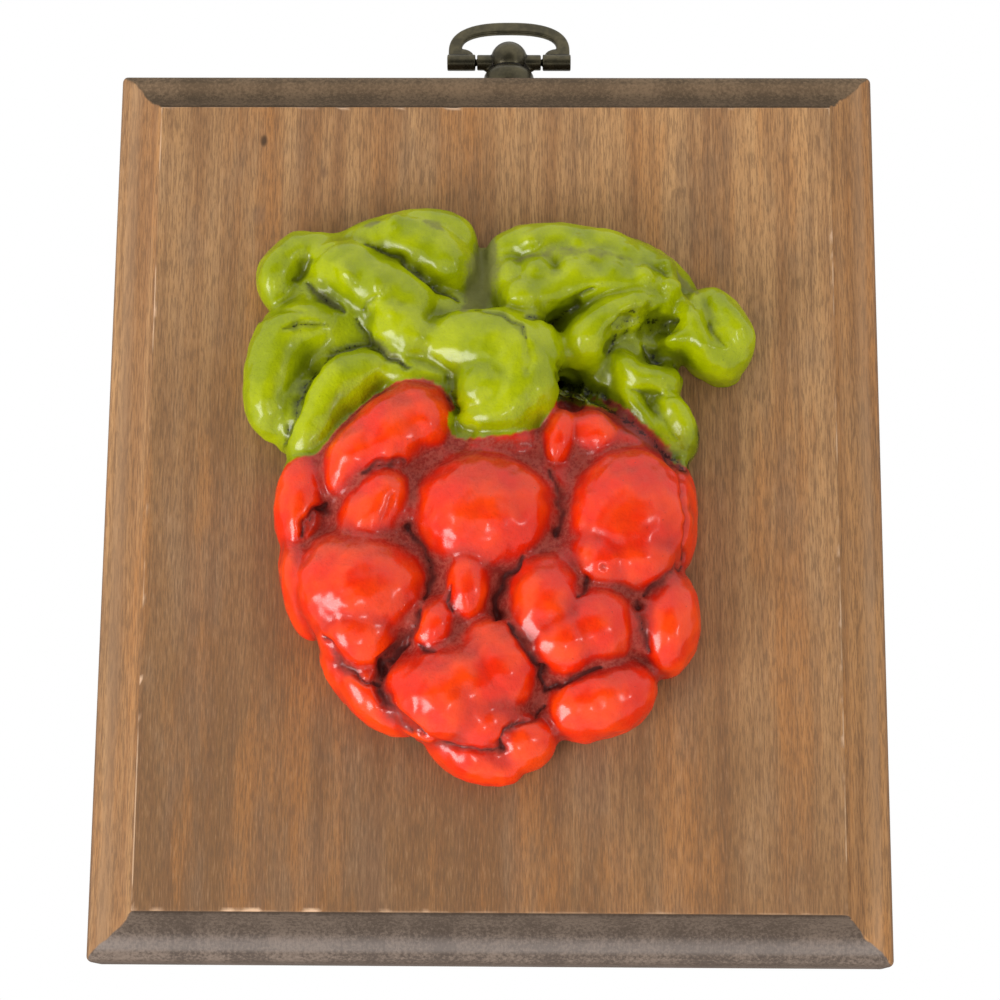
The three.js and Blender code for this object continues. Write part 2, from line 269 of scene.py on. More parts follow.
# %% The world
ROOM = 0.72
DARK_PATCH = 0.12
FRONT = (0, -0.97, -0.24)
BRIGHT_SIDE = (0.1, -0.4, 0.6)
ROOM_WHITE = (1.0, 0.99, 0.97, 1)


def make_world():
    """White to the camera. As light, strength = ROOM (1 + direction . BRIGHT_SIDE), times a
    dimming that falls to DARK_PATCH where direction . FRONT nears 1."""
    world = bpy.data.worlds.new("studio")
    world.use_nodes = True
    tree = world.node_tree
    tree.nodes.clear()
    wire = Wire(tree)
    ahead = wire.node("ShaderNodeTexCoord", output="Generated")
    room = ahead.dot(BRIGHT_SIDE) * ROOM + ROOM
    dimming = 1 - ahead.dot(FRONT).step(0.6, 0.97) * (1 - DARK_PATCH)
    light = {"Color": ROOM_WHITE, "Strength": room * dimming}
    lit = wire.node("ShaderNodeBackground", None, light)
    seen = wire.node("ShaderNodeBackground", None, {"Color": (1, 1, 1, 1)})
    for_camera = wire.node("ShaderNodeLightPath", output="Is Camera Ray")
    mix = wire.node("ShaderNodeMixShader", None, {0: for_camera, 1: lit, 2: seen})
    out = tree.nodes.new("ShaderNodeOutputWorld")
    tree.links.new(mix.socket, out.inputs["Surface"])
    return world


bpy.context.scene.world = make_world()
bpy.context.scene.view_settings.view_transform = "Standard"

# %% The floor
FLOOR_Z = -1.2
FLOOR_HALF = 3


def pale_paper():
    """A matt off-white paper, faintly clouded."""
    material, wire, shader = start_material("pale_paper")
    tone = wire.noise(wire.place(), 3.0).blend(srgb(238, 238, 236), srgb(244, 244, 243))
    plug(tone, shader, "Base Color")
    shader.inputs["Roughness"].default_value = 0.9
    return material


corners = [(x * FLOOR_HALF, y * FLOOR_HALF, FLOOR_Z) for x, y in [(-1, -1), (1, -1), (1, 1), (-1, 1)]]
floor_mesh = bpy.data.meshes.new("floor")
floor_mesh.from_pydata(corners, [], [(0, 1, 2, 3)])
floor_mesh.materials.append(pale_paper())
floor = bpy.data.objects.new("floor", floor_mesh)
bpy.context.scene.collection.objects.link(floor)
print(f"floor {-FLOOR_Z:.1f} m below the plaque's middle")

# %% [markdown]
# ## Casting
# The berry and the hanger are castings. A caster's model is built up from balls and rolls
# of clay pressed together, and the joins are smoothed with a thumb. It is made the same
# way here. Each ball or roll is a closed surface worked out on a grid of two parameters.
# All of them are then melted into one skin by a voxel Remesh, and relaxed.


# %% Balls and rolls on a grid
def sphere_angles(rings, around):
    """Angle from the pole, as a column, and angle round it, as a row."""
    pole = np.linspace(0, math.pi, rings)[:, None]
    turn = np.linspace(0, 2 * math.pi, around, endpoint=False)[None, :]
    return pole, turn


def at_steps(values, t):
    """Values that stand at even steps from 0 to 1, read at t with straight lines between."""
    return np.interp(t, np.linspace(0, 1, len(values)), values)


def curve_points(points, t):
    """Catmull-Rom curve: each stretch is the cubic through its two ends whose slope at
    each end is half the step from the point before to the point after."""
    p = np.array(points, float)
    p = np.vstack([2 * p[0] - p[1], p, 2 * p[-1] - p[-2]])
    place = np.clip(t, 0, 1) * (len(points) - 1)
    first = np.minimum(place.astype(int), len(points) - 2)
    f = (place - first)[:, None]
    a, b, c, d = p[first], p[first + 1], p[first + 2], p[first + 3]
    spot = 0.5 * (2 * b + (c - a) * f + (2 * a - 5 * b + 4 * c - d) * f**2)
    spot += 0.5 * (3 * b - a - 3 * c + d) * f**3
    slope = 0.5 * ((c - a) + 2 * (2 * a - 5 * b + 4 * c - d) * f)
    slope += 1.5 * (3 * b - a - 3 * c + d) * f**2
    return spot, slope / np.linalg.norm(slope, axis=1, keepdims=True)


BLUNTNESS = 3.4


def egg(spec, rings=26, around=40):
    """A unit ball stretched by the half sizes, turned on the face and moved to its place.
    Points are (across, up, height above the face)."""
    x, z, across, up, turn, crown, root = spec
    pole, angle = sphere_angles(rings, around)
    a = across * np.sin(pole) * np.cos(angle)
    b = up * np.sin(pole) * np.sin(angle)
    h = root + (crown - root) * np.cos(pole) + 0 * angle
    c, s = math.cos(math.radians(turn)), math.sin(math.radians(turn))
    return np.stack([x + a * c - b * s, z + a * s + b * c, h], -1)


def roll(spec, rings=34, around=28):
    """A ball drawn out along a path: girth falls to nothing at the ends as the square root
    of 1 - |k| to the power of the bluntness, where k runs from 1 to -1 along the path."""
    path, half, crown, root = spec
    pole, angle = sphere_angles(rings, around)
    k = np.cos(pole[:, 0])
    t = (k + 1) / 2
    spot, heading = curve_points(path, t)
    girth = np.sqrt(np.clip(1 - np.abs(k) ** BLUNTNESS, 0, None))[:, None]
    side = at_steps(half, t)[:, None] * girth * np.cos(angle)
    rise = (at_steps(crown, t)[:, None] - root) * girth * np.sin(angle)
    x = spot[:, :1] - heading[:, 1:] * side
    z = spot[:, 1:] + heading[:, :1] * side
    return np.stack([x, z, root + rise], -1)


def to_row(face_points):
    """Points on the face (across, up, height), in millimetres, as places in metres."""
    x, z, h = np.moveaxis(face_points, -1, 0)
    return np.stack([x, -THICKNESS - h, z], -1) * MM


# %% Melting the heap into one skin
def grid_faces(rings, around, first):
    """Quads of a grid that closes round on itself, numbered from the first vertex."""
    ring = np.arange(rings - 1)[:, None] * around + first
    here = np.arange(around)[None, :]
    after = (here + 1) % around
    quads = np.stack([ring + here, ring + after, ring + after + around, ring + here + around], -1)
    return quads.reshape(-1, 4)


def closed_mesh(name, points, faces):
    """A mesh whose repeated points are merged and whose faces all point outwards."""
    mesh = bpy.data.meshes.new(name)
    mesh.from_pydata(points.tolist(), [], faces)
    shape = bmesh.new()
    shape.from_mesh(mesh)
    bmesh.ops.remove_doubles(shape, verts=shape.verts, dist=1e-7)
    bmesh.ops.recalc_face_normals(shape, faces=shape.faces)
    shape.to_mesh(mesh)
    shape.free()
    return mesh


def heap_mesh(name, grids):
    """One mesh from many closed grids."""
    points, faces, count = [], [], 0
    for grid in grids:
        rings, around = grid.shape[:2]
        points.append(grid.reshape(-1, 3))
        faces.append(grid_faces(rings, around, count))
        count += rings * around
    return closed_mesh(name, np.vstack(points), np.vstack(faces).tolist())


def melt(name, grids, voxel):
    """Join overlapping closed surfaces into one skin, in voxels of a size in millimetres."""
    heap = bpy.data.objects.new(name, heap_mesh(name, grids))
    bpy.context.scene.collection.objects.link(heap)
    remesh = heap.modifiers.new("melt", "REMESH")
    remesh.mode = "VOXEL"
    remesh.voxel_size = voxel * MM
    graph = bpy.context.evaluated_depsgraph_get()
    skin = bpy.data.meshes.new_from_object(heap.evaluated_get(graph))
    heap.modifiers.clear()
    heap.data = skin
    skin.name = name
    print(f"{name}: {len(grids)} surfaces melted into {len(skin.polygons)} faces")
    return heap


# %% A mesh as arrays
def read_points(mesh):
    """The places of a mesh's points, one row each."""
    points = np.empty(len(mesh.vertices) * 3)
    mesh.vertices.foreach_get("co", points)
    return points.reshape(-1, 3)


def write_points(mesh, points):
    """Move a mesh's points to new places."""
    mesh.vertices.foreach_set("co", points.ravel())
    mesh.update()


def read_normals(mesh):
    """The way out of the surface at each point."""
    normals = np.empty(len(mesh.vertices) * 3)
    mesh.vertex_normals.foreach_get("vector", normals)
    return normals.reshape(-1, 3)


def read_edges(mesh):
    """The two point numbers of each edge."""
    edges = np.empty(len(mesh.edges) * 2, int)
    mesh.edges.foreach_get("vertices", edges)
    return edges.reshape(-1, 2)


def shade_smooth(mesh):
    """Shade every face as part of a curved surface."""
    mesh.polygons.foreach_set("use_smooth", [True] * len(mesh.polygons))


def store(mesh, name, values):
    """Keep one number for each point of the mesh, for its material to read."""
    layer = mesh.attributes.new(name, "FLOAT", "POINT")
    layer.data.foreach_set("value", np.asarray(values, np.float32))
    print(f"{name} runs from {np.min(values):.2f} to {np.max(values):.2f}")


# %% Relaxing, hollows and unevenness
def relax(points, edges, rounds, share=0.5):
    """Each point moves a share of the way to the mean of its neighbours, over and over."""
    a, b = edges.T
    size = len(points)
    count = np.maximum(np.bincount(edges.ravel(), minlength=size), 1)[:, None]
    share = np.asarray(share, float)
    for _ in range(rounds):
        total = [np.bincount(a, p[b], size) + np.bincount(b, p[a], size) for p in points.T]
        points = points + share * (np.stack(total, -1) / count - points)
    return points


def hollow(points, normals, edges, rounds):
    """How far the relaxed surface stands off the real one, in millimetres: more than
    nothing in a hollow, less on a crown."""
    return ((relax(points, edges, rounds) - points) * normals).sum(1) / MM


def waves(points, length, count, seed):
    """Soft unevenness: a mean of sine waves of about one length, each in a direction and
    at a phase drawn at random from a fixed seed."""
    draw = np.random.default_rng(seed)
    direction = draw.normal(size=(count, 3))
    direction /= np.linalg.norm(direction, axis=1, keepdims=True)
    turns = direction * draw.uniform(0.7, 1.4, (count, 1)) * 2 * math.pi / (length * MM)
    phase = draw.uniform(0, 2 * math.pi, count)
    return np.sin(points @ turns.T + phase).sum(1) / math.sqrt(count / 2)


# %% [markdown]
# ## The board
# One piece of hardwood, its front edge routed all round to an ogee: a round nose, a
# hollow, a small flat and a step up to the face. A router follows the edge, so the shape
# is the moulding's section carried round the rectangle. Its sharp edges are eased a
# little, as sanding and years of handling leave them, and the top edge of the step is
# nicked here and there.

# %% The section of the board
# Heights are from the back, and places across are from the side, in millimetres.
SIDE = 10.8
NOSE = 3.0
COVE_FOOT = 18.2
STEP_AT = 9.3
FLAT = 0.7
BACK_EASE = 0.6
EASE = 0.25


def arc(centre, radii, start, end, steps):
    """Points of an ellipse from one angle to another, in degrees."""
    turn = np.radians(np.linspace(start, end, steps))
    x = centre[0] + radii[0] * np.cos(turn)
    y = centre[1] + radii[1] * np.sin(turn)
    return np.stack([x, y], -1)


cove = (STEP_AT - NOSE - FLAT, COVE_FOOT - SIDE - NOSE)
section = np.vstack(
    [
        [(5, 0), (1.5, 0)],
        arc((BACK_EASE, BACK_EASE), (BACK_EASE, BACK_EASE), 270, 180, 5),
        [(0, 4), (0, 8)],
        arc((NOSE, SIDE), (NOSE, NOSE), 180, 90, 12),
        arc((NOSE, COVE_FOOT), cove, 270, 360, 12)[1:],
        [(STEP_AT - 0.1, COVE_FOOT), (STEP_AT, COVE_FOOT + 0.1)],
        arc((STEP_AT + EASE, THICKNESS - EASE), (EASE, EASE), 180, 90, 5),
        [(STEP_AT + 0.8, THICKNESS), (STEP_AT + 2.5, THICKNESS)],
    ]
)
print(f"section of {len(section)} points, moulding {STEP_AT} mm wide")


# %% Carry the section round the rectangle
CORNER = 1.2
LEAST_CORNER = 0.15
POINTS_ON_ENDS = 130
POINTS_ON_SIDES = 150


def board_loop(inset):
    """Points all the way round at one inset: four small arcs joined by straight sides."""
    radius = max(CORNER - inset, LEAST_CORNER)
    a = WIDTH / 2 - inset - radius
    b = HEIGHT / 2 - inset - radius
    centres = [(a, b), (-a, b), (-a, -b), (a, -b)]
    arcs = [arc(c, (radius, radius), 90 * k, 90 * k + 90, 7) for k, c in enumerate(centres)]
    points = []
    for k, count in enumerate([POINTS_ON_ENDS, POINTS_ON_SIDES] * 2):
        share = np.linspace(0, 1, count + 2)[1:-1, None]
        start, end = arcs[k][-1], arcs[(k + 1) % 4][0]
        points += [arcs[k], start + share * (end - start)]
    return np.vstack(points)


loops = np.stack([board_loop(inset) for inset, _ in section])
levels = np.repeat(section[:, 1, None], loops.shape[1], axis=1)
rings, around = levels.shape
print(f"board: {rings} rings of {around} points")


# %% Nicks along the top edge of the step
NICK_DEPTH = 0.35


def nicks_along(line):
    """Where short waves stand high and long waves don't stand low, a nick."""
    short = np.clip(waves(line, 5, 24, 5) - 1.1, 0, 1)
    return short * np.clip(waves(line, 60, 8, 6) + 0.8, 0, 1)


outline = np.stack([loops[0, :, 0], 0 * loops[0, :, 0], loops[0, :, 1]], -1) * MM
from_arris = (section[:, 0] - STEP_AT - 0.1) / 0.3
on_arris = np.exp(-(from_arris**2)) * (section[:, 1] > COVE_FOOT + 0.2)
nicks = on_arris[:, None] * nicks_along(outline)
board_points = np.stack([loops[..., 0], NICK_DEPTH * nicks - levels, loops[..., 1]], -1) * MM

# %% The board's mesh
last_ring = (rings - 1) * around
faces = grid_faces(rings, around, 0)[:, ::-1].tolist()
faces.append(list(range(around)))
faces.append(list(range(last_ring + around - 1, last_ring - 1, -1)))
board_mesh = closed_mesh("moulded_board", board_points.reshape(-1, 3), faces)
shade_smooth(board_mesh)
store(board_mesh, "nick", nicks.ravel())
board = bpy.data.objects.new("moulded_board", board_mesh)
bpy.context.scene.collection.objects.link(board)
print(f"board: {len(board_mesh.vertices)} points, {len(board_mesh.polygons)} faces")

# %% [markdown]
# The wood's pattern is solid, as in real timber: fibres and pores run up the board, so
# the sides show long streaks and the top and bottom mouldings, cut across the fibres,
# show specks. Every pattern is noise, and what makes it long grain is how far it is
# stretched up the board. Stain, and a painted shade low down and to the left, are tones
# laid over the tan wood one by one, each with its own mask.

# %% The wood's patterns
# Each: stretch, shift, lumps for each metre, detail, roughness.
GRAIN = {
    "bands": ((1, 1, 0.03), (0, 0, 0), 75, 5, 0.75),
    "stripes": ((1, 1, 0.04), (0.3, 0, 0), 420, 4, 0.7),
    "pores": ((1, 1, 0.09), (0, 0, 0), 3000, 3, 0.7),
    "patches": ((1, 1, 0.13), (0.7, 0.2, 0), 130, 4, 0.6),
    "blotches": ((1, 1, 0.4), (0.1, 0.4, 0), 110, 3, 0.6),
    "ashy": ((1, 1, 0.3), (0.4, 0.3, 0.2), 75, 6, 0.65),
    "specks": ((1, 1.6, 1), (0, 0, 0), 1500, 3, 0.7),
    "wear": ((1, 1, 0.4), (0, 0, 0), 130, 3, 0.6),
}


def wood_patterns(wire):
    """All the patterns by name, each a noise on the stretched point."""
    made = {}
    for name, (stretch, shift, *rest) in GRAIN.items():
        made[name] = wire.noise(wire.place(stretch, shift), *rest)
    return SimpleNamespace(**made)


# %% Where on the board a point is
def board_zones(wire):
    """Masks from the distance to the nearest side of the board: the face, the moulding,
    the end grain, the flat back and the lower half."""
    here = wire.place()
    x, y, z = here.split()
    to_side = WIDTH / 2 * MM - abs(x)
    to_end = HEIGHT / 2 * MM - abs(z)
    ragged = (wire.noise(here, 260, 2) - 0.5) * 0.003
    inset = to_side.least(to_end)
    back = y.past(-0.8, -0.2)
    field = inset.past(STEP_AT - 0.2, STEP_AT + 0.1) * (1 - back)
    edge = (1 - field) * (1 - back)
    return SimpleNamespace(
        x=x,
        z=z,
        inset=inset,
        front=1 - back,
        field=field,
        edge=edge,
        ends=(to_side - to_end).past(0, 1),
        end_grain=(to_side - to_end + ragged).past(-0.2, 0.4) * edge,
        low=1 - z.past(-50, 50),
    )


# %% Long grain
def long_grain(grain, zone):
    """Tan wood in bands, then painted shade low down and to the left, a warmer right side,
    orange patches, ashy patches, dark stripes and the pores."""
    ashy = grain.ashy
    lit_towards_upper_right = (zone.x * 2.8 + zone.z * 4.2 + (ashy - 0.5) * 1.2).step(-0.5, 0.45)
    moulding = 1 - zone.field
    tan = grain.bands.step(0.4, 0.6).blend(srgb(168, 122, 80), srgb(198, 152, 104))
    layers = [
        # Painted shade: the wood is darker low down and to the left, most on the face, as if light fell
        # from the upper right.
        ((1 - lit_towards_upper_right) * (0.25 + 0.6 * zone.field), srgb(120, 86, 56)),
        (moulding * zone.x.past(50, 70) * 0.3, srgb(176, 112, 52)),
        (grain.patches.step(0.48, 0.68) * 0.45, srgb(190, 128, 70)),
        (ashy.step(0.48, 0.66) * 0.42, srgb(126, 104, 84)),
        ((1 - grain.stripes.step(0.4, 0.54)) * 0.36, srgb(122, 88, 62)),
        ((1 - grain.pores.step(0.4, 0.54)) * 0.5, srgb(104, 80, 60)),
        (grain.pores.step(0.54, 0.68) * 0.16, srgb(212, 174, 136)),
    ]
    return lay_over(tan, layers)


# %% End grain
def end_grain(grain, zone):
    """Sooty brown with paler smoke, greyer at the bottom than at the top."""
    smoky = (grain.specks * 0.6 + grain.blotches * 0.4).step(0.4, 0.62)
    soot = zone.low.blend(srgb(92, 76, 58), srgb(88, 76, 68))
    smoke = zone.low.blend(srgb(130, 108, 84), srgb(130, 114, 102))
    return smoky.blend(soot, smoke)


# %% [markdown]
# End grain drinks more stain and dries darker, and the hollow of the moulding is painted
# darker still as painted shade. Its crest is painted lighter as a painted highlight, the
# board's sides carry painted shade, and the stain has worn off the edge of the step in
# places. The face has a few marks: a small knot, two faint stains and a fleck of paint.

# %% Wear, painted light and shade, and marks
# Marks on the face: across, up, radius, how much of the wood they hide, colour.
MARKS = [
    (-46.1, 72.5, 1.2, 0.85, srgb(66, 50, 38)),
    (-34, 65.8, 1.2, 0.5, srgb(104, 76, 58)),
    (-46.6, 57, 2.2, 0.35, srgb(104, 84, 72)),
    (68.6, 73.2, 0.8, 0.9, srgb(236, 228, 218)),
]


def moulding_wear(wire, grain, zone):
    """The tones that follow the moulding round: painted shade in the stained hollow, a painted
    highlight on the crest, painted shade on the dark rim and the sides, the shadow at the
    foot of the step, and the worn edge with its nicks."""
    inset, end, low = zone.inset, zone.end_grain, zone.low
    # Painted shade: end grain is darker in the hollow of the moulding, under the step.
    cove = inset.past(4.2, 6.6) * end
    # Painted highlight: the rounded crest of the nose is painted lighter, greyer on the bottom end
    # grain.
    crest = inset.past(1.6, 2.8) * (1 - inset.past(3.2, 5.6)) * zone.edge
    crest_highlight_tone = (low * end).blend(srgb(190, 154, 120), srgb(172, 162, 156))
    shadow = inset.past(8.6, 9.1) * (1 - inset.past(9.2, 9.35)) * zone.front
    worn = inset.past(9.22, 9.3) * (1 - inset.past(9.5, 9.65)) * grain.wear.step(0.47, 0.56)
    return [
        (cove * 0.45, srgb(72, 58, 44)),
        (crest * (0.35 - 0.22 * end * (1 - low)), crest_highlight_tone),
        # Painted shade: the outer rim and the board's sides are painted darker.
        ((1 - inset.past(0, 0.9)) * 0.55, srgb(70, 54, 42)),
        (shadow * zone.ends * 0.6, srgb(62, 48, 36)),
        (worn * zone.front * (0.6 - 0.46 * zone.ends), srgb(222, 186, 152)),
        (wire.attribute("nick") * 1.6, srgb(214, 176, 142)),
    ]


def marks_on_face(zone):
    """A soft oval spot for each mark, taller than it is wide."""
    layers = []
    for across, up, radius, share, tone in MARKS:
        wide = (zone.x - across * MM) ** 2.0 * 1.6
        tall = (zone.z - up * MM) ** 2.0 * 0.6
        spot = 1 - (wide + tall).step(0, (radius * MM) ** 2)
        layers.append((spot * share * zone.field, tone))
    return layers


# %% The stained wood
def stained_wood():
    """Long grain on the face and sides, end grain on the ends, then wear and marks."""
    material, wire, shader = start_material("stained_wood")
    grain = wood_patterns(wire)
    zone = board_zones(wire)
    colour = zone.end_grain.blend(long_grain(grain, zone), end_grain(grain, zone))
    colour = lay_over(colour, moulding_wear(wire, grain, zone) + marks_on_face(zone))
    plug(colour, shader, "Base Color")
    plug(0.55 + 0.15 * grain.bands + 0.1 * zone.end_grain, shader, "Roughness")
    shader.inputs["Specular IOR Level"].default_value = 0.2
    fibres = grain.pores + 0.5 * grain.stripes
    plug(bump(fibres, 0.35, 0.0003), shader, "Normal")
    return material


board_mesh.materials.append(stained_wood())
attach(board, "plaque")
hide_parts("board")

# %% [markdown]
# ## The berry and its leaves
# The relief is one casting, so it is one piece. Its forms are listed as a modeller would
# lay them on: a low body, the drupelets on it, then the leaves with their lobes. A form is
# an egg or a roll. Sizes are in millimetres on the face, from its middle, and heights are
# above the face. An egg is: across, up, half width, half height, turn in degrees, crown,
# height of its widest part. A roll is: points of its path, half widths and crowns at even
# steps along it, height of its widest part.

# %% The berry's body and drupelets
BERRY_BODY = [
    (-0.8, -6, 38, 29, 0, 13, 0),
    (-1, -29, 29, 20, 0, 11.5, 0),
    (25, 6, 16, 9.5, -48, 11, 1),
    (-29, 4, 13, 9, 50, 10.5, 1),
]
DRUPELETS = [
    (-1.4, -5.6, 15.2, 13.2, 0, 19.8, 6),
    (-4.3, -19.6, 4.8, 8.4, 0, 17, 8),
    (25.6, -6, 13, 14.8, -12, 18.6, 5.5),
    (26.8, -13, 9.2, 9.2, 0, 17.2, 6),
    (20.8, -14.4, 7.2, 7.8, 0, 17.2, 7),
    (-24.2, -19.6, 13.8, 12, -8, 18.6, 5.5),
    (-24.4, -27.2, 8.4, 9, 5, 16, 6),
    (-7.8, -39.6, 12.4, 10.2, -6, 17.6, 6),
    (0.8, -34.4, 9.8, 10.4, -25, 17.6, 6.5),
    (-3.4, -37.6, 11, 9.4, 20, 18, 6.5),
    (-1.2, -44.5, 8, 7, 0, 14.6, 5),
    (10.8, -23.2, 8.8, 11.4, 8, 18.6, 6.5),
    (19, -27, 9, 9, 0, 17.8, 6.5),
    (13.8, -29.4, 8.8, 8.4, -10, 18, 6.5),
    (14.8, -14.2, 3.8, 5.4, 0, 13.4, 7),
    (28, -26, 5, 7.4, 0, 12.6, 3),
    (-21, -35.6, 5.4, 5, 0, 9.4, 3),
    (-16, -5.4, 4.4, 5.4, 0, 13.4, 7),
    (-18.4, 10, 13.6, 8.2, 44, 17.6, 6.5),
    (-13.6, 12, 7.2, 7.4, 0, 17, 6.5),
    (-36.2, -2.6, 5.4, 11.4, -5, 12.2, 3),
    (-35.6, -18.5, 4.6, 10.8, 12, 11, 3),
    (33.2, -25.4, 6.8, 10.8, -4, 13.4, 3.5),
    (35.2, -4.5, 4.4, 12, 0, 11, 3),
    (20.4, -40.2, 11.8, 7.6, 17, 14, 4),
    (6, -47.8, 7.4, 6.2, 22, 11.6, 3.5),
    (-3, -50.4, 10.2, 5.2, -22, 10, 3),
    (-23.2, -38, 12.2, 5.4, -46, 10.4, 3),
    (19.4, 10, 6.4, 6, 20, 13.8, 7),
    (27, 8.6, 11.4, 6.2, -42, 11.4, 4),
    (2, 7.6, 9.6, 4.4, 8, 13.8, 7),
]
BERRY_ROLLS = [
    ([(-29.6, -3.6), (-26.4, 4), (-20, 10), (-11, 14)], [3.8, 6.4, 7, 6.6], [12.5, 16, 17, 16], 6.5),
    ([(-15.6, 1.8), (-20.4, -3), (-26.6, -13.6)], [5, 7, 7], [15.4, 16.6, 15.8], 6.5),
    ([(-6.4, -21), (-10.2, -27), (-13, -33.4)], [3.6, 5.6, 4.6], [14.6, 15.8, 14], 6.5),
    ([(14, 15), (12.8, 9), (11.6, 2.6)], [3, 4, 2.8], [13.6, 14.8, 13.4], 8),
]
berry_eggs = BERRY_BODY + DRUPELETS
print(f"berry: {len(berry_eggs)} eggs and {len(BERRY_ROLLS)} rolls")

# %% [markdown]
# Each leaf is a low bed with thick folded lobes on it, and the stem's hollow runs down
# between them. The left leaf has four lobes, and its tongue curls out over the berry. The
# right leaf has a knobbly rim, a fold below it and two small curled lobes.

# %% The left leaf and its tongue
STEM_HOLLOW = ([(-2, 50.5), (-1.8, 44), (-2, 37), (2, 31)], [1.6, 4, 6, 6], [3, 4.5, 6, 8], 0)
LEFT_LEAF = [
    (
        [(-31.5, 49.6), (-23, 49.6), (-14, 48), (-8.4, 43.4), (-6.6, 38)],
        [3.2, 5.6, 7.4, 6.4, 3.8],
        [8.6, 11.6, 12.6, 12.6, 10.6],
        3,
    ),
    ([(-28, 52), (-18, 53.2), (-8, 52.4), (-4.6, 46)], [2, 3, 3.6, 2.8], [8, 10, 9, 8], 2.5),
    (
        [(-37, 46.2), (-29, 43.6), (-21.6, 39), (-14.6, 35.6), (-10, 33.4)],
        [4.8, 6.4, 7, 6, 4],
        [11.6, 14, 15, 14.6, 13.2],
        5,
    ),
    ([(-22, 37), (-18, 32), (-14.4, 27.6), (-12.6, 23.4)], [5.4, 7.2, 6.4, 4], [13, 15, 14.6, 13], 6),
    (
        [(-30, 50.6), (-38, 47.6), (-42, 43), (-41.4, 35.4)],
        [3, 4.2, 4.6, 4.4],
        [8.6, 10, 10.4, 9.4],
        2.5,
    ),
    (
        [(-25, 31.2), (-33.4, 32.4), (-39.8, 29.8), (-42.4, 22.6), (-42.8, 15.4), (-42, 9.4)],
        [4, 6.4, 6.8, 6, 5.6, 4.4],
        [10.8, 11.8, 12, 11.2, 10.4, 8.4],
        3,
    ),
    (
        [(-15.5, 23.6), (-22, 23.4), (-28.8, 20.2), (-32.8, 13.8), (-36, 7.6), (-38, 3.4)],
        [3.8, 5.4, 6.8, 6.2, 5, 3.4],
        [12.4, 13.4, 13.6, 12.6, 10.4, 7.6],
        4,
    ),
]
TONGUE = [
    (
        [(-25, 22.6), (-17, 22), (-10, 20.6), (-6.6, 15.6)],
        [3, 3.6, 3.2, 2.8],
        [11.6, 12.6, 12.8, 12.8],
        7,
    ),
    (
        [(-15, 27.4), (-5, 27.4), (3.2, 25.4), (6.2, 19.6), (2.2, 14.2), (-6.6, 12.2)],
        [6.2, 7.4, 8.2, 7.6, 6, 3.8],
        [15.4, 17.6, 19, 19, 18.2, 16.8],
        11,
    ),
    ([(-2, 32.4), (6, 30.8), (10.4, 25.8), (10.4, 17.2)], [2.4, 4, 3.6, 3], [12, 15, 16.6, 16.6], 9),
    ([(-7.4, 17.4), (-4, 17), (0, 18)], [2, 3, 3.4], [14.5, 16, 17], 12),
]

# %% The right leaf
RIGHT_LEAF = [
    (
        [(1.4, 42), (2.6, 48), (11, 49.4), (20, 48.6), (29, 46), (38.4, 40.4)],
        [3.4, 4.6, 4.4, 4.4, 4.2, 3.4],
        [8.6, 10.4, 10.8, 10.6, 10, 8.4],
        2,
    ),
    ([(1.4, 46.8), (3.4, 42), (4.6, 35)], [4, 4.8, 4.8], [8.6, 11.4, 12], 3),
    (
        [(0.4, 37.4), (6, 36.8), (12, 38.4), (20, 39.6), (29, 39.4), (37.4, 36.8)],
        [4.6, 5.8, 4.8, 4.2, 4.2, 3.2],
        [12.4, 14.4, 14, 13.8, 13.6, 11.6],
        5,
    ),
    (
        [(14.6, 22.4), (17.2, 27.4), (21.6, 31.8), (28, 35.2), (37, 37.4)],
        [5, 5.4, 5, 4.6, 3.4],
        [13.4, 15.6, 15.8, 14.8, 11.8],
        5,
    ),
    ([(40, 40), (38.4, 33.6), (41, 27.4), (46, 23.6)], [2.8, 3.8, 4, 3.2], [9.4, 12.4, 12.6, 9.8], 3),
    ([(40, 40.6), (44, 35.6), (47, 30), (47.2, 23.6)], [2.8, 4, 4.2, 3.4], [8.8, 12.2, 12.6, 9.6], 3),
    ([(31.4, 27.8), (35.4, 28.8), (40, 29.4)], [1.6, 2.2, 2.6], [9.6, 11.6, 12], 4),
    (
        [(25.4, 28.4), (25, 24.6), (28, 21.2), (33, 21), (37, 23.4)],
        [2.6, 3.2, 3.8, 3.8, 3],
        [10.6, 12.2, 12.4, 12.2, 10],
        3,
    ),
    (
        [(23, 21.6), (26.6, 17), (30.4, 11.4), (35.8, 4.4)],
        [2.4, 2.8, 2.6, 2.2],
        [10.4, 11.2, 10.6, 8],
        3,
    ),
    ([(29, 20), (34.4, 16), (37, 11), (36.6, 5)], [2.8, 3.2, 3.2, 2.6], [10.6, 11.4, 11, 8], 3),
    ([(12.6, 19.6), (20, 16), (27.5, 11.8), (35, 4.8)], [1.6, 2, 2, 1.8], [12, 10.6, 9, 6.8], 4),
]

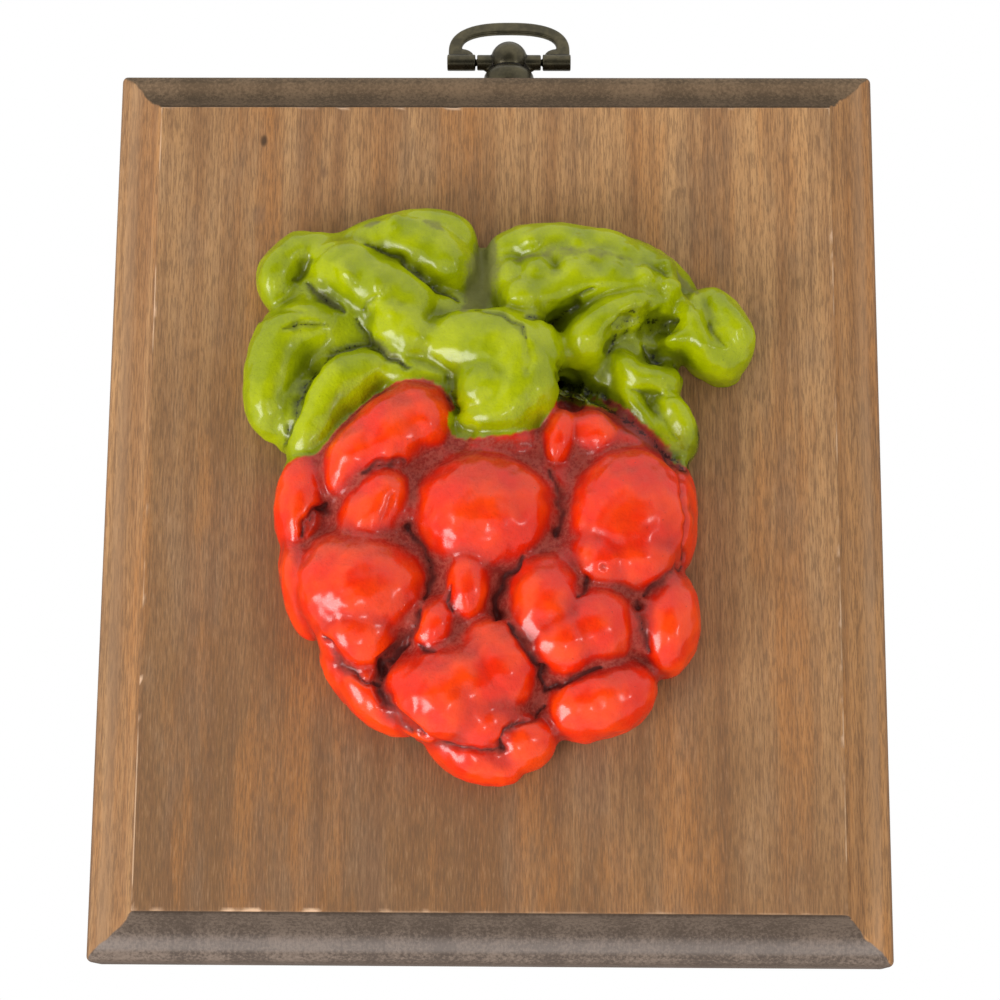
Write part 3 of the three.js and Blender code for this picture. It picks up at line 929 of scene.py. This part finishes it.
# %% The leaves' beds and knobs
LEAF_BEDS = [
    (-25.5, 36, 19, 18, 25, 9.5, 0),
    (-12, 32, 14, 11, 0, 10, 0),
    (20.5, 40, 20, 13, -6, 9.5, 0),
    (24, 27, 12, 14, 30, 8.5, 0),
    (-18.5, 24.6, 9.5, 4.2, 0, 12.4, 3),
    (-37, 16, 5.4, 8.8, -20, 9, 1),
]
LEAF_KNOBS = [
    (6, 36.6, 5.4, 5.2, 0, 15.4, 6),
    (8.4, 41.4, 3.8, 4, 0, 14.4, 7),
    (16, 41.6, 3.6, 3.8, 0, 14.6, 7),
    (23.4, 41.4, 3.4, 3.4, -10, 14.2, 7),
    (29, 40.6, 3.4, 3.2, -20, 13.8, 7),
    (34, 39, 3, 2.8, -30, 12.8, 6),
    (7.4, 48.4, 3.8, 3, 0, 12, 5),
    (16.4, 48.2, 3.4, 2.6, 0, 12.2, 5),
    (25.6, 46.8, 3.6, 2.4, -15, 11.4, 5),
    (33, 44, 3, 2.6, -30, 10.8, 4),
    (-0.8, 18.4, 6.4, 5.8, 0, 18, 11),
    (-19.2, 51.2, 2.8, 3.8, -30, 13, 6),
    (-27.4, 40.6, 3, 5, 35, 15.2, 8),
    (-21.8, 38.4, 3, 5.2, 30, 15.9, 9),
    (-19.2, 32.8, 3.2, 4.8, 25, 15.4, 8),
    (-14, 28.4, 3.6, 3.4, 0, 14.8, 8),
    (29.8, 21, 5, 3.4, 0, 12.6, 5),
    (43.2, 29.6, 5.4, 8.6, 20, 11.6, 1),
    (33, 11.6, 3.6, 7.6, 32, 9.8, 1),
    (20, 44.2, 17, 4.4, -8, 12.4, 4),
]
leaf_eggs = LEAF_BEDS + LEAF_KNOBS
leaf_rolls = [STEM_HOLLOW] + LEFT_LEAF + TONGUE + RIGHT_LEAF
print(f"leaves: {len(leaf_eggs)} eggs and {len(leaf_rolls)} rolls")

# %% Melt the forms together
CLAY_VOXEL = 0.48
eggs = [to_row(egg(spec)) for spec in berry_eggs + leaf_eggs]
rolls = [to_row(roll(spec)) for spec in BERRY_ROLLS + leaf_rolls]
relief = melt("painted_berry", eggs + rolls, CLAY_VOXEL)

# %% Relax the skin, most of all in its creases
SKIN_ROUNDS = 9
CREASE_ROUNDS = 16
CREASE_SHARE = 0.6
mesh = relief.data
edges = read_edges(mesh)
points = relax(read_points(mesh), edges, SKIN_ROUNDS)
write_points(mesh, points)
deep = hollow(points, read_normals(mesh), edges, 8)
fill = np.clip(deep * 8, 0, 1)[:, None]
points = relax(points, edges, CREASE_ROUNDS, CREASE_SHARE * fill)
write_points(mesh, points)
print(f"creases up to {deep.max():.2f} mm deep were filled by a thumb")

# %% Make it uneven
WIDE_LUMPS = 0.12
SMALL_LUMPS = 0.05
normals = read_normals(mesh)
lumps = WIDE_LUMPS * waves(points, 9, 14, 1) + SMALL_LUMPS * waves(points, 3.2, 18, 2)
points = points + normals * lumps[:, None] * MM
print(f"lumps stand up to {lumps.max():.2f} mm off the skin")

# %% [markdown]
# The modeller's tool has cut lines between the forms and pricked a few holes. They are
# pressed into the skin along its normals. The wash that the painter wiped on has stayed in
# most of them, so the same lines are used again for the paint.

# %% The strokes of the tool
# Each: points of the path, depth, half width, and how much of the dark wash stays in it.
# The one without depth is only painted.
STROKES = [
    ([(-24.6, 47.4), (-18.4, 44.8), (-14.8, 41.8), (-10.8, 38.6), (-7, 37)], 0.8, 0.5, 0.9),
    ([(-36.4, 40.6), (-33, 37.4), (-28.4, 34)], 1, 0.8, 0.75),
    ([(-26.4, 32.6), (-23.6, 28), (-19.8, 24.6), (-15.6, 22)], 1, 0.6, 0.8),
    ([(-24, 27.8), (-30.2, 26.2), (-33.4, 23.4), (-36, 18.6), (-38, 12.6), (-40, 8.6)], 1, 0.8, 0.85),
    ([(-39.8, 29.8), (-36, 30.8), (-31.8, 31.2)], 0.5, 0.4, 0.9),
    ([(-2.8, 33), (1.9, 31.4), (5.2, 29), (6.9, 26.2)], 0.6, 0.4, 0.9),
    ([(6.9, 26), (7.2, 22.6), (6.8, 19)], 0.6, 0.9, 0.05),
    ([(6.6, 31.8), (10.6, 31.6), (14, 34.4), (18.8, 37.4)], 0.8, 0.8, 0.9),
    ([(23.6, 30), (26.4, 32.2), (30.4, 33.2), (35.6, 32.6)], 0.9, 1.4, 0.8),
    ([(22, 25.6), (23.6, 29.2), (27, 31.6)], 0.9, 1.3, 0.75),
    ([(13.2, 22), (17.4, 20.6), (22.6, 17.6)], 0.9, 1.9, 0.95),
    ([(13, 19.6), (17, 18), (21, 15.6)], 0.3, 3.2, 1),
    ([(24.6, 30.4), (28, 31.6), (33, 31)], 0.2, 2.2, 0.62),
    ([(13.4, 19.8), (20.6, 16), (27, 11.6), (32.4, 7), (36.4, 3.6)], 0.9, 1.9, 1),
    ([(-24.8, 34.4), (-22.2, 36)], 0.4, 0.5, 0.6),
    ([(29.2, 27.8), (30.4, 25.8), (32.8, 25.2)], 1, 1.2, 0.95),
    ([(35.4, 25), (38.4, 22), (37.2, 18.6)], 0.9, 0.9, 0.8),
    ([(27, 18.6), (31, 17.4), (35.2, 17.6)], 0.6, 0.6, 0.25),
    ([(29.6, 17.2), (33.2, 12.4), (35.2, 8.8)], 0.4, 0.5, 0.15),
    ([(41.6, 31.6), (42.6, 29.4), (44.6, 27)], 0.8, 0.9, 0.15),
    ([(36.8, 40), (38, 37.4), (38.8, 34.6)], 0.6, 0.8, 0.4),
    ([(24, 44.6), (30, 43.4), (36, 40.4)], 0.5, 0.8, 0.1),
    ([(-31, 47.4), (-35.6, 44.8), (-38.4, 41)], 0.8, 0.9, 0.05),
    ([(-45.4, 33.4), (-41, 34.6), (-36, 33.6)], 0.6, 0.8, 0.05),
    ([(-8.4, 20.4), (-7, 16)], 0.7, 1.3, 0.5),
    ([(11.2, 2.2), (12.8, -2.2), (13.4, -6), (12.6, -10)], 0.6, 0.9, 0.65),
    ([(-35.6, -10), (-34, -6.2), (-31.4, -4)], 1, 0.8, 0.75),
    ([(-24.4, 1.6), (-19.8, 2.6), (-16, 3.8)], 0.6, 0.6, 0.75),
    ([(-18, -3), (-19.4, -5.4), (-20, -7.8)], 0.4, 0.8, 0.3),
    ([(-15.6, -9), (-12.6, -13), (-10.8, -17.8), (-12, -22.4)], 0.7, 0.8, 0.75),
    ([(6.5, -15), (3, -17.8), (1.4, -22.4), (1.2, -26.6)], 0.8, 0.7, 0.95),
    ([(3.6, -27.4), (6.6, -31.8), (9.6, -35.8)], 0.8, 0.8, 0.9),
    ([(17.4, -18.4), (18, -20.4), (16.6, -22.6)], 0.6, 0.7, 0.6),
    ([(9.6, -35.8), (10.6, -39), (14.6, -37.6), (21, -35.2)], 0.8, 0.5, 0.85),
    ([(10, -42), (9.2, -44), (6.4, -45), (2.6, -47), (2, -50)], 0.6, 0.5, 0.7),
    ([(-15, -30.6), (-19.6, -34.4), (-20.6, -38), (-19, -42), (-15.6, -45.6), (-12, -48)], 1, 0.9, 0.9),
    ([(-31, -29.6), (-27.4, -34.6), (-23, -37.6), (-20.6, -38)], 0.9, 0.9, 0.7),
    ([(-12.6, -24), (-13.6, -27.6), (-17, -31), (-20.6, -33.6)], 0.7, 0.8, 0.8),
    ([(-13.4, -31.4), (-10, -33.2)], 0.6, 0.6, 0.9),
    ([(-7.2, -20.4), (-7.9, -23), (-6.8, -25.4)], 0.6, 0.5, 0.7),
    ([(27.6, -22.4), (28.8, -28.4), (29.4, -32)], 0.7, 1, 0.75),
    ([(28.6, -21.4), (32.4, -18.6), (36, -15.4)], 0.6, 0.8, 0.5),
    ([(20.8, -16.8), (21.6, -18.2)], 0.3, 0.4, 0.7),
    ([(39.4, 13), (40, 8), (37, 3.4), (33.6, 4)], 0, 1.2, 0.9),
    ([(32.6, 7.4), (35.8, 2), (36.8, -6), (36.2, -14)], 0.6, 0.5, 0.4),
    ([(-14.6, -47.2), (-8, -49.4), (-1, -51), (2, -49.6)], 0.6, 0.45, 0.45),
]
# Holes: across, up, radius.
PITS = [
    (-15.6, -9, 0.9),
    (-31.4, -4.6, 0.8),
    (12.6, -9.6, 0.9),
    (27.8, -23.6, 0.7),
    (9.8, -36, 0.9),
    (1.6, -25.4, 0.9),
    (-20, -35, 0.9),
    (2.2, -50, 0.7),
    (31.4, 26.4, 1.4),
    (14.8, 20.6, 1.3),
    (18.4, 19, 1.1),
]
print(f"{len(STROKES)} strokes and {len(PITS)} holes")


# %% Press them in
def stroke(spots, path, width):
    """1 on a line through given points, falling off as the bell curve exp(-(d / w)^2).
    The width w tapers from the middle of the line to a third of itself at both ends."""
    path = np.array(path, float)
    runs = np.r_[0, np.cumsum(np.hypot(*np.diff(path, axis=0).T))]
    value = np.zeros(len(spots))
    for start, end, gone, run in zip(path[:-1], path[1:], runs[:-1], np.diff(runs)):
        span = end - start
        t = np.clip((spots - start) @ span / (span @ span), 0, 1)
        distance = np.hypot(*(spots - start - t[:, None] * span).T)
        taper = 0.35 + 0.65 * np.sin(math.pi * (gone + t * run) / runs[-1])
        value = np.maximum(value, np.exp(-((distance / (width * taper)) ** 2)))
    return value


def pit(spots, x, z, radius):
    """1 at a point of the face, falling off round it as the same bell curve."""
    return np.exp(-(((spots - (x, z)) / radius) ** 2).sum(1))


def wandering(points):
    """Places on the face, in millimetres, shaken a little so that no stroke is a ruled line."""
    shake = np.stack([waves(points, 3.5, 10, 7), waves(points, 3.5, 10, 8)], -1)
    return points[:, [0, 2]] / MM + 0.22 * shake


PIT_DEPTH = 0.9
DEEPEST = 1.8
SPREAD = 1.1
spots = wandering(points)
carve = sum(depth * stroke(spots, path, width * SPREAD) for path, depth, width, _ in STROKES)
carve = carve + sum(PIT_DEPTH * pit(spots, *spec) for spec in PITS)
points = points - normals * (np.minimum(carve, DEEPEST) * MM)[:, None]
write_points(mesh, relax(points, edges, 1))
print(f"the tool goes {carve.max():.1f} mm deep where strokes meet, before the limit")


# %% Cut the back flat
def cut_flat(mesh, level):
    """Slice a mesh at a plane that faces the wall and close the cut with one flat face."""
    shape = bmesh.new()
    shape.from_mesh(mesh)
    everything = shape.verts[:] + shape.edges[:] + shape.faces[:]
    plane = {"plane_co": (0, level, 0), "plane_no": (0, 1, 0)}
    made = bmesh.ops.bisect_plane(shape, geom=everything, clear_outer=True, **plane)
    rim = [item for item in made["geom_cut"] if isinstance(item, bmesh.types.BMEdge)]
    bmesh.ops.edgeloop_fill(shape, edges=rim)
    shape.to_mesh(mesh)
    shape.free()
    mesh.update()


cut_flat(mesh, -THICKNESS * MM)
shade_smooth(mesh)
print(f"relief: {len(mesh.polygons)} faces after the cut")

# %% [markdown]
# The painter's work needs to know two things at every point of the skin: is this leaf or
# berry, and how deep in a hollow is it? Both are worked out once here, from the same list
# of forms and from the relaxed surface, and stored in the mesh.


# %% How far a point is past a form
def egg_distance(face_points, spec):
    """Distance past an egg: its own unit radius at the point, less 1, times its size."""
    x, z, across, up, turn, crown, root = spec
    c, s = math.cos(math.radians(turn)), math.sin(math.radians(turn))
    dx = face_points[:, 0] - x
    dz = face_points[:, 1] - z
    a = (dx * c + dz * s) / across
    b = (dz * c - dx * s) / up
    h = (face_points[:, 2] - root) / (crown - root)
    return (np.sqrt(a * a + b * b + h * h) - 1) * min(across, up, crown - root)


def roll_distance(face_points, spec, steps=22):
    """The same for a roll: the least over the slices along its path."""
    path, half, crown, root = spec
    t = np.linspace(0.04, 0.96, steps)
    spot, _ = curve_points(path, t)
    nearest = np.full(len(face_points), np.inf)
    for (x, z), width, top in zip(spot, at_steps(half, t), at_steps(crown, t)):
        a = np.hypot(face_points[:, 0] - x, face_points[:, 1] - z) / width
        h = (face_points[:, 2] - root) / (top - root)
        nearest = np.minimum(nearest, (np.hypot(a, h) - 1) * min(width, top - root))
    return nearest


def nearest_form(face_points, eggs, rolls):
    """The least distance past any of these eggs and rolls."""
    gaps = [egg_distance(face_points, spec) for spec in eggs]
    gaps += [roll_distance(face_points, spec) for spec in rolls]
    return np.min(gaps, axis=0)


# %% Leaf or berry
PAINT_EDGE = 0.5
points = read_points(mesh)
heights = -points[:, 1] - THICKNESS * MM
face_points = np.stack([points[:, 0], points[:, 2], heights], -1) / MM
berry_gap = nearest_form(face_points, berry_eggs, BERRY_ROLLS)
leaf_gap = nearest_form(face_points, leaf_eggs, leaf_rolls)
brush = 0.12 * waves(points, 2.2, 12, 3)
store(mesh, "leaf", np.clip((berry_gap - leaf_gap + brush) / PAINT_EDGE + 0.5, 0, 1))

# %% Creases, valleys and what faces up
SEAM_ROUNDS = 6
VALLEY_ROUNDS = 160
edges = read_edges(mesh)
normals = read_normals(mesh)
store(mesh, "crease", hollow(points, normals, edges, SEAM_ROUNDS))
store(mesh, "valley", hollow(points, normals, edges, VALLEY_ROUNDS))
store(mesh, "upward", normals[:, 2])

# %% Wash, painted shade round the creases, and dust
# Where dust has settled: points of the path, half width and amount.
DUST = [
    ([(-1, 51), (-1.6, 44), (-3, 37), (-5, 33.6)], 3.4, 1),
    ([(3, 44.6), (12, 45.6), (20, 45.4), (27, 44)], 1.6, 0.5),
    ([(-25, 51.6), (-22, 51.4)], 1.2, 0.6),
    ([(-13, 52), (-10, 50.6)], 1.8, 0.6),
    ([(36, 43), (39.4, 38.6)], 1.6, 0.6),
    ([(-36, 40), (-33, 37.6), (-30, 35)], 1.4, 0.6),
    ([(-24, 29), (-17, 23)], 1, 0.6),
    ([(-6, 8.4), (2, 6.6), (9, 7.4)], 1.8, 0.6),
]


def painted_lines(spots, narrow, wide, round_holes):
    """The most that any stroke or hole leaves at each spot. The strokes' width is made
    narrow times itself, plus wide, and the holes' radius is multiplied too."""
    strokes = [much * stroke(spots, path, width * narrow + wide) for path, _, width, much in STROKES]
    holes = [pit(spots, x, z, radius * round_holes) for x, z, radius in PITS]
    return np.max(strokes + holes, axis=0)


spots = wandering(points)
store(mesh, "lines", painted_lines(spots, 0.55, 0, 0.8))
# Painted shade: a wide soft zone round each tool line and hole, where the paint is darkened.
store(mesh, "stain", painted_lines(spots, 1.4, 0.7, 2.2))
settled = [much * stroke(spots, path, width) for path, width, much in DUST]
store(mesh, "dust", np.max(settled, axis=0))

# %% [markdown]
# The paint is a thick gloss enamel over plaster, red on the berry and yellow-green on the
# leaves. A dark wash was wiped over it and stayed in the creases, and years of dust have
# dulled the low places. Painted shade darkens the foot of each drupelet, the leaves'
# hollows, the ground round the creases and what faces up. Each of these is a mask from the
# stored numbers, broken up with noise, and the masks mix the colours and the gloss.


# %% The numbers that the paint reads
def skin_values(wire):
    """The stored numbers, and noise of three sizes that swings about 0."""
    names = ("leaf", "crease", "valley", "upward", "lines", "stain", "dust")
    skin = SimpleNamespace(**{name: wire.attribute(name) for name in names})
    here = wire.place()
    skin.cloud = wire.noise(here, 130, 3) - 0.5
    skin.blots = wire.noise(here, 420, 3, 0.6) - 0.5
    skin.grit = wire.noise(here, 1500, 3, 0.65) - 0.5
    skin.berry = 1 - skin.leaf
    skin.low = (skin.valley + skin.blots * 0.8).step(-0.2, 0.85)
    return skin


# %% The enamel
def enamel(skin):
    """Clouded red or green, with painted shade low on the leaves and round the foot of each drupelet.
    """
    thick = skin.cloud.step(-0.15, 0.15)
    red = thick.blend(srgb(234, 40, 2), srgb(254, 70, 4))
    green = thick.blend(srgb(144, 158, 0), srgb(170, 182, 0))
    # Painted shade: crimson round the foot of each drupelet, where the valleys begin.
    foot_shade = (skin.valley + skin.cloud * 0.8).step(-0.7, 0.2) * skin.berry
    # Painted shade: dark olive low in the leaves' hollows.
    layers = [(skin.low * skin.leaf * 0.6, srgb(98, 110, 2)), (foot_shade * 0.8, srgb(188, 20, 8))]
    return lay_over(skin.leaf.blend(red, green), layers)


# %% Dust and wash
def dullness(skin):
    """How dusty the skin is: low down on the berry, on what faces up, and where dust has
    settled, whichever is most. What faces up is dust and painted shade."""
    low = skin.low * (1 - 0.95 * skin.leaf)
    # Dust and painted shade: what faces up is dulled and darkened.
    top = (skin.upward + skin.cloud * 0.7 + skin.blots * 0.4).step(0.1, 0.95)
    settled = (skin.dust + skin.blots * 0.6 + skin.grit * 0.4).step(0.15, 0.7)
    return low.most(top * (0.62 - 0.59 * skin.leaf)).most(settled)


def dust_and_shade_tone(skin):
    """Mottled brick on the berry, and grey-green on the leaves: dust, and painted shade on what faces
    up.
    """
    mottle = (skin.grit * 0.6 + skin.blots * 0.4).step(-0.08, 0.08)
    brick = mottle.blend(srgb(130, 54, 48), srgb(164, 84, 72))
    return skin.leaf.blend(brick, srgb(128, 126, 82))


def dark_wash(skin):
    """Broken lines where the tool went, a film in the seams, and stray dots."""
    broken = skin.grit * 1.9 + skin.blots * 1.5 - skin.berry * 0.16
    lines = (skin.lines + broken).step(0.55, 1.0)
    seams = (skin.crease + skin.grit * 0.14 + skin.blots * 0.08).step(0.05, 0.22)
    wash = lines.most(seams * (0.7 - 0.3 * skin.leaf))
    dots = skin.grit.step(0.19, 0.24) * 0.5
    return (wash * 0.9).most(dots)


# %% The painted plaster
def painted_plaster():
    """Dust with painted shade, painted shade round the creases and wash laid over the enamel,
    which shines where it isn't dull.
    """
    material, wire, shader = start_material("painted_plaster")
    skin = skin_values(wire)
    dull = dullness(skin)
    # Painted shade round the creases: dark brown-red on the berry and dark olive on the leaves.
    crease_shade_share = (skin.stain + skin.blots * 0.8).step(0.3, 1.0) * (0.72 - 0.12 * skin.leaf)
    layers = [
        (dull * 0.8, dust_and_shade_tone(skin)),
        (crease_shade_share, skin.leaf.blend(srgb(104, 40, 36), srgb(58, 66, 8))),
        (dark_wash(skin), skin.leaf.blend(srgb(52, 22, 24), srgb(30, 32, 12))),
    ]
    plug(lay_over(enamel(skin), layers), shader, "Base Color")
    plug(0.5 + 0.3 * dull, shader, "Roughness")
    plug((1 - dull * 0.8) * (1 - 0.2 * skin.leaf), shader, "Coat Weight")
    shader.inputs["Specular IOR Level"].default_value = 0.0
    shader.inputs["Coat Roughness"].default_value = 0.2
    shader.inputs["Coat IOR"].default_value = 1.48
    soft = wire.noise(wire.place(), 260, 2)
    uneven = 0.55 * soft + 0.4 * skin.blots + 0.16 * skin.grit
    plug(bump(uneven, 1.0, 0.0009), shader, "Normal")
    return material


mesh.materials.append(painted_plaster())
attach(relief, "plaque")
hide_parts("berry_relief")

# %% [markdown]
# ## The hanger
# A bought brass casting stands on the top edge. Its post has a round foot, a ball and a
# cross barrel, and a D-shaped bail turns on two short pins in the barrel's ends. Both
# castings are melted from turned shapes in the same way as the berry, in finer voxels, so
# every join gets the soft fillet of a casting.


# %% Turned shapes
def turned(profile, around=44):
    """A profile of (radius, height) turned about the height axis."""
    radius, height = np.array(profile, float).T
    turn = np.linspace(0, 2 * math.pi, around, endpoint=False)
    x = radius[:, None] * np.cos(turn)
    y = radius[:, None] * np.sin(turn)
    return np.stack([x, y, height[:, None] + 0 * turn], -1)


def lying(profile):
    """The same, with its axis laid across the hanger, along the bail's pins."""
    return np.roll(turned(profile), 1, axis=-1)


def smooth_profile(points, steps=50):
    """A smooth curve through the points of a profile, kept on one side of the axis."""
    return np.clip(curve_points(points, np.linspace(0, 1, steps))[0], 0, None)


def onto_hanger(grid, lean=0.0):
    """Places about the pivot, leaned back by an angle in degrees, as places in metres."""
    c, s = math.cos(math.radians(lean)), math.sin(math.radians(lean))
    x, y, z = np.moveaxis(grid, -1, 0)
    return (np.stack([x, y * c + z * s, z * c - y * s], -1) + np.array(pivot)) * MM


pole_angle = np.linspace(0, math.pi, 40)
unit_ball = turned(np.stack([np.sin(pole_angle), np.cos(pole_angle)], -1))

# %% The post
# Profiles are lists of (radius, height). The foot's heights are from the board's top edge.
PIVOT_HEIGHT = 5.75
FOOT_BASE = [(0, 0), (5.0, 0), (5.2, 0.2)]
FOOT_FLARE = [(5.2, 0.75), (5.2, 1.6), (5.0, 2.8), (4.1, 3.8), (2.9, 4.6), (2.4, 6.5)]
FOOT_TOP = [(0, 6.5)]
BALL = 3.8
BALL_RISE = 0.6
BARREL_END = [(1.6, 6.5), (1.5, 6.6), (1.1, 6.6), (1, 6.5), (1, 4.4), (0, 4.4)]
CRADLE_HALF = (5.8, 1.55, 2.3)
CRADLE_DROP = 0.7
POST_VOXEL = 0.14

foot_line = FOOT_BASE + smooth_profile(FOOT_FLARE).tolist() + FOOT_TOP
foot = turned(np.array(foot_line) - (0, PIVOT_HEIGHT))
ball = unit_ball * BALL + (0, 0, BALL_RISE)
barrel = lying([(radius, -height) for radius, height in reversed(BARREL_END)] + BARREL_END)
cradle = unit_ball * CRADLE_HALF - (0, 0, CRADLE_DROP)
post = melt("brass_post", [onto_hanger(g) for g in (foot, ball, barrel, cradle)], POST_VOXEL)

# %% [markdown]
# The bail is a flat bar bent to a D. Its outer and inner edges are superellipses, which
# are squarer than a half circle, and the bar's section is a rectangle with soft corners.
# Each leg ends in a knuckle, with a pin that goes into the barrel and a web that joins the
# knuckle to the leg.


# %% The bail's bar
def d_edge(half_width, foot, top, steps=70):
    """Half of a superellipse that stands on straight legs, from right to left."""
    turn = np.linspace(0, math.pi, steps)
    c, s = np.cos(turn), np.sin(turn)
    x = half_width * np.sign(c) * np.abs(c) ** 0.8
    z = foot + (top - foot) * np.abs(s) ** 0.8
    edge = np.stack([x, z], -1)
    return np.vstack([[(half_width, 0)], edge, [(-half_width, 0)]])


def bar(outer, inner, thickness, around=24):
    """A bar that lies between two edges: its section is a superellipse, and it closes
    on its own middle at both ends."""
    turn = np.linspace(0, 2 * math.pi, around, endpoint=False)
    across = np.sign(np.cos(turn)) * np.abs(np.cos(turn)) ** 0.45
    through = np.sign(np.sin(turn)) * np.abs(np.sin(turn)) ** 0.6
    middle = (outer + inner)[:, None, :] / 2
    reach = (outer - inner)[:, None, :] / 2
    start, end = np.repeat(middle[:1], around, 1), np.repeat(middle[-1:], around, 1)
    grid = np.vstack([start, middle + reach * across[None, :, None], end])
    y = np.vstack([0 * through, np.repeat(through[None], len(outer), 0), 0 * through])
    return np.stack([grid[..., 0], y * thickness / 2, grid[..., 1]], -1)


# %% The bail
BAIL_LEAN = 18
BAIL_HALF = 12.55
BAIL_TOP = 10.5
BAND = 2.8
BAR_THICKNESS = 1.5
LEG_OUTSIDE = 2.6
LEG_INSIDE = 3.6
KNUCKLE = [(0, 6.95), (1.55, 6.95), (1.68, 7.1), (1.68, 12.6), (1.55, 12.75), (0, 12.75)]
PIN = [(0, 5.1), (0.6, 5.1), (0.7, 5.2), (0.7, 8), (0, 8)]
WEB_HALF = (2.6, 0.75, 2.0)
WEB_ACROSS = 9.9
WEB_UP = 1.6
BAIL_VOXEL = 0.12

outer_edge = d_edge(BAIL_HALF, LEG_OUTSIDE, BAIL_TOP)
inner_edge = d_edge(BAIL_HALF - BAND, LEG_INSIDE, BAIL_TOP - BAND)
bail_parts = [bar(outer_edge, inner_edge, BAR_THICKNESS)]
for side in (-1, 1):
    bail_parts.append(lying(np.array(KNUCKLE) * (1, side)))
    bail_parts.append(lying(np.array(PIN) * (1, side)))
    bail_parts.append(unit_ball * WEB_HALF + (side * WEB_ACROSS, 0, WEB_UP))
bail = melt("brass_bail", [onto_hanger(g, BAIL_LEAN) for g in bail_parts], BAIL_VOXEL)


# %% Smooth the castings
def finish_casting(piece, rounds):
    """Relax a melted casting and store how deep each point lies in a hollow."""
    mesh = piece.data
    edges = read_edges(mesh)
    write_points(mesh, relax(read_points(mesh), edges, rounds))
    shade_smooth(mesh)
    store(mesh, "crease", hollow(read_points(mesh), read_normals(mesh), edges, 12))


finish_casting(post, 4)
finish_casting(bail, 3)

# %% [markdown]
# Antique brass is plated, dipped dark and rubbed back, so the hollows stay nearly black
# and the crowns show dull olive metal.


# %% The antique brass
def antique_brass():
    """Tarnished olive metal, nearly black in the hollows."""
    material, wire, shader = start_material("antique_brass_finish")
    here = wire.place()
    tarnish = wire.noise(here, 420, 4, 0.6)
    low = (wire.attribute("crease") + (tarnish - 0.5) * 0.02).step(0.0, 0.03)
    metal = tarnish.step(0.35, 0.65).blend(srgb(66, 62, 48), srgb(88, 82, 62))
    plug(low.blend(metal, srgb(34, 30, 24)), shader, "Base Color")
    plug(0.2 + 0.22 * tarnish, shader, "Roughness")
    shader.inputs["Metallic"].default_value = 0.75
    plug(bump(wire.noise(here, 2600, 3), 0.2, 0.0001), shader, "Normal")
    return material


brass = antique_brass()
for piece, node, body in ((post, "hanger_post", "plaque"), (bail, "hanger_bail", "bail")):
    piece.data.materials.append(brass)
    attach(piece, body)
    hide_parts(node)
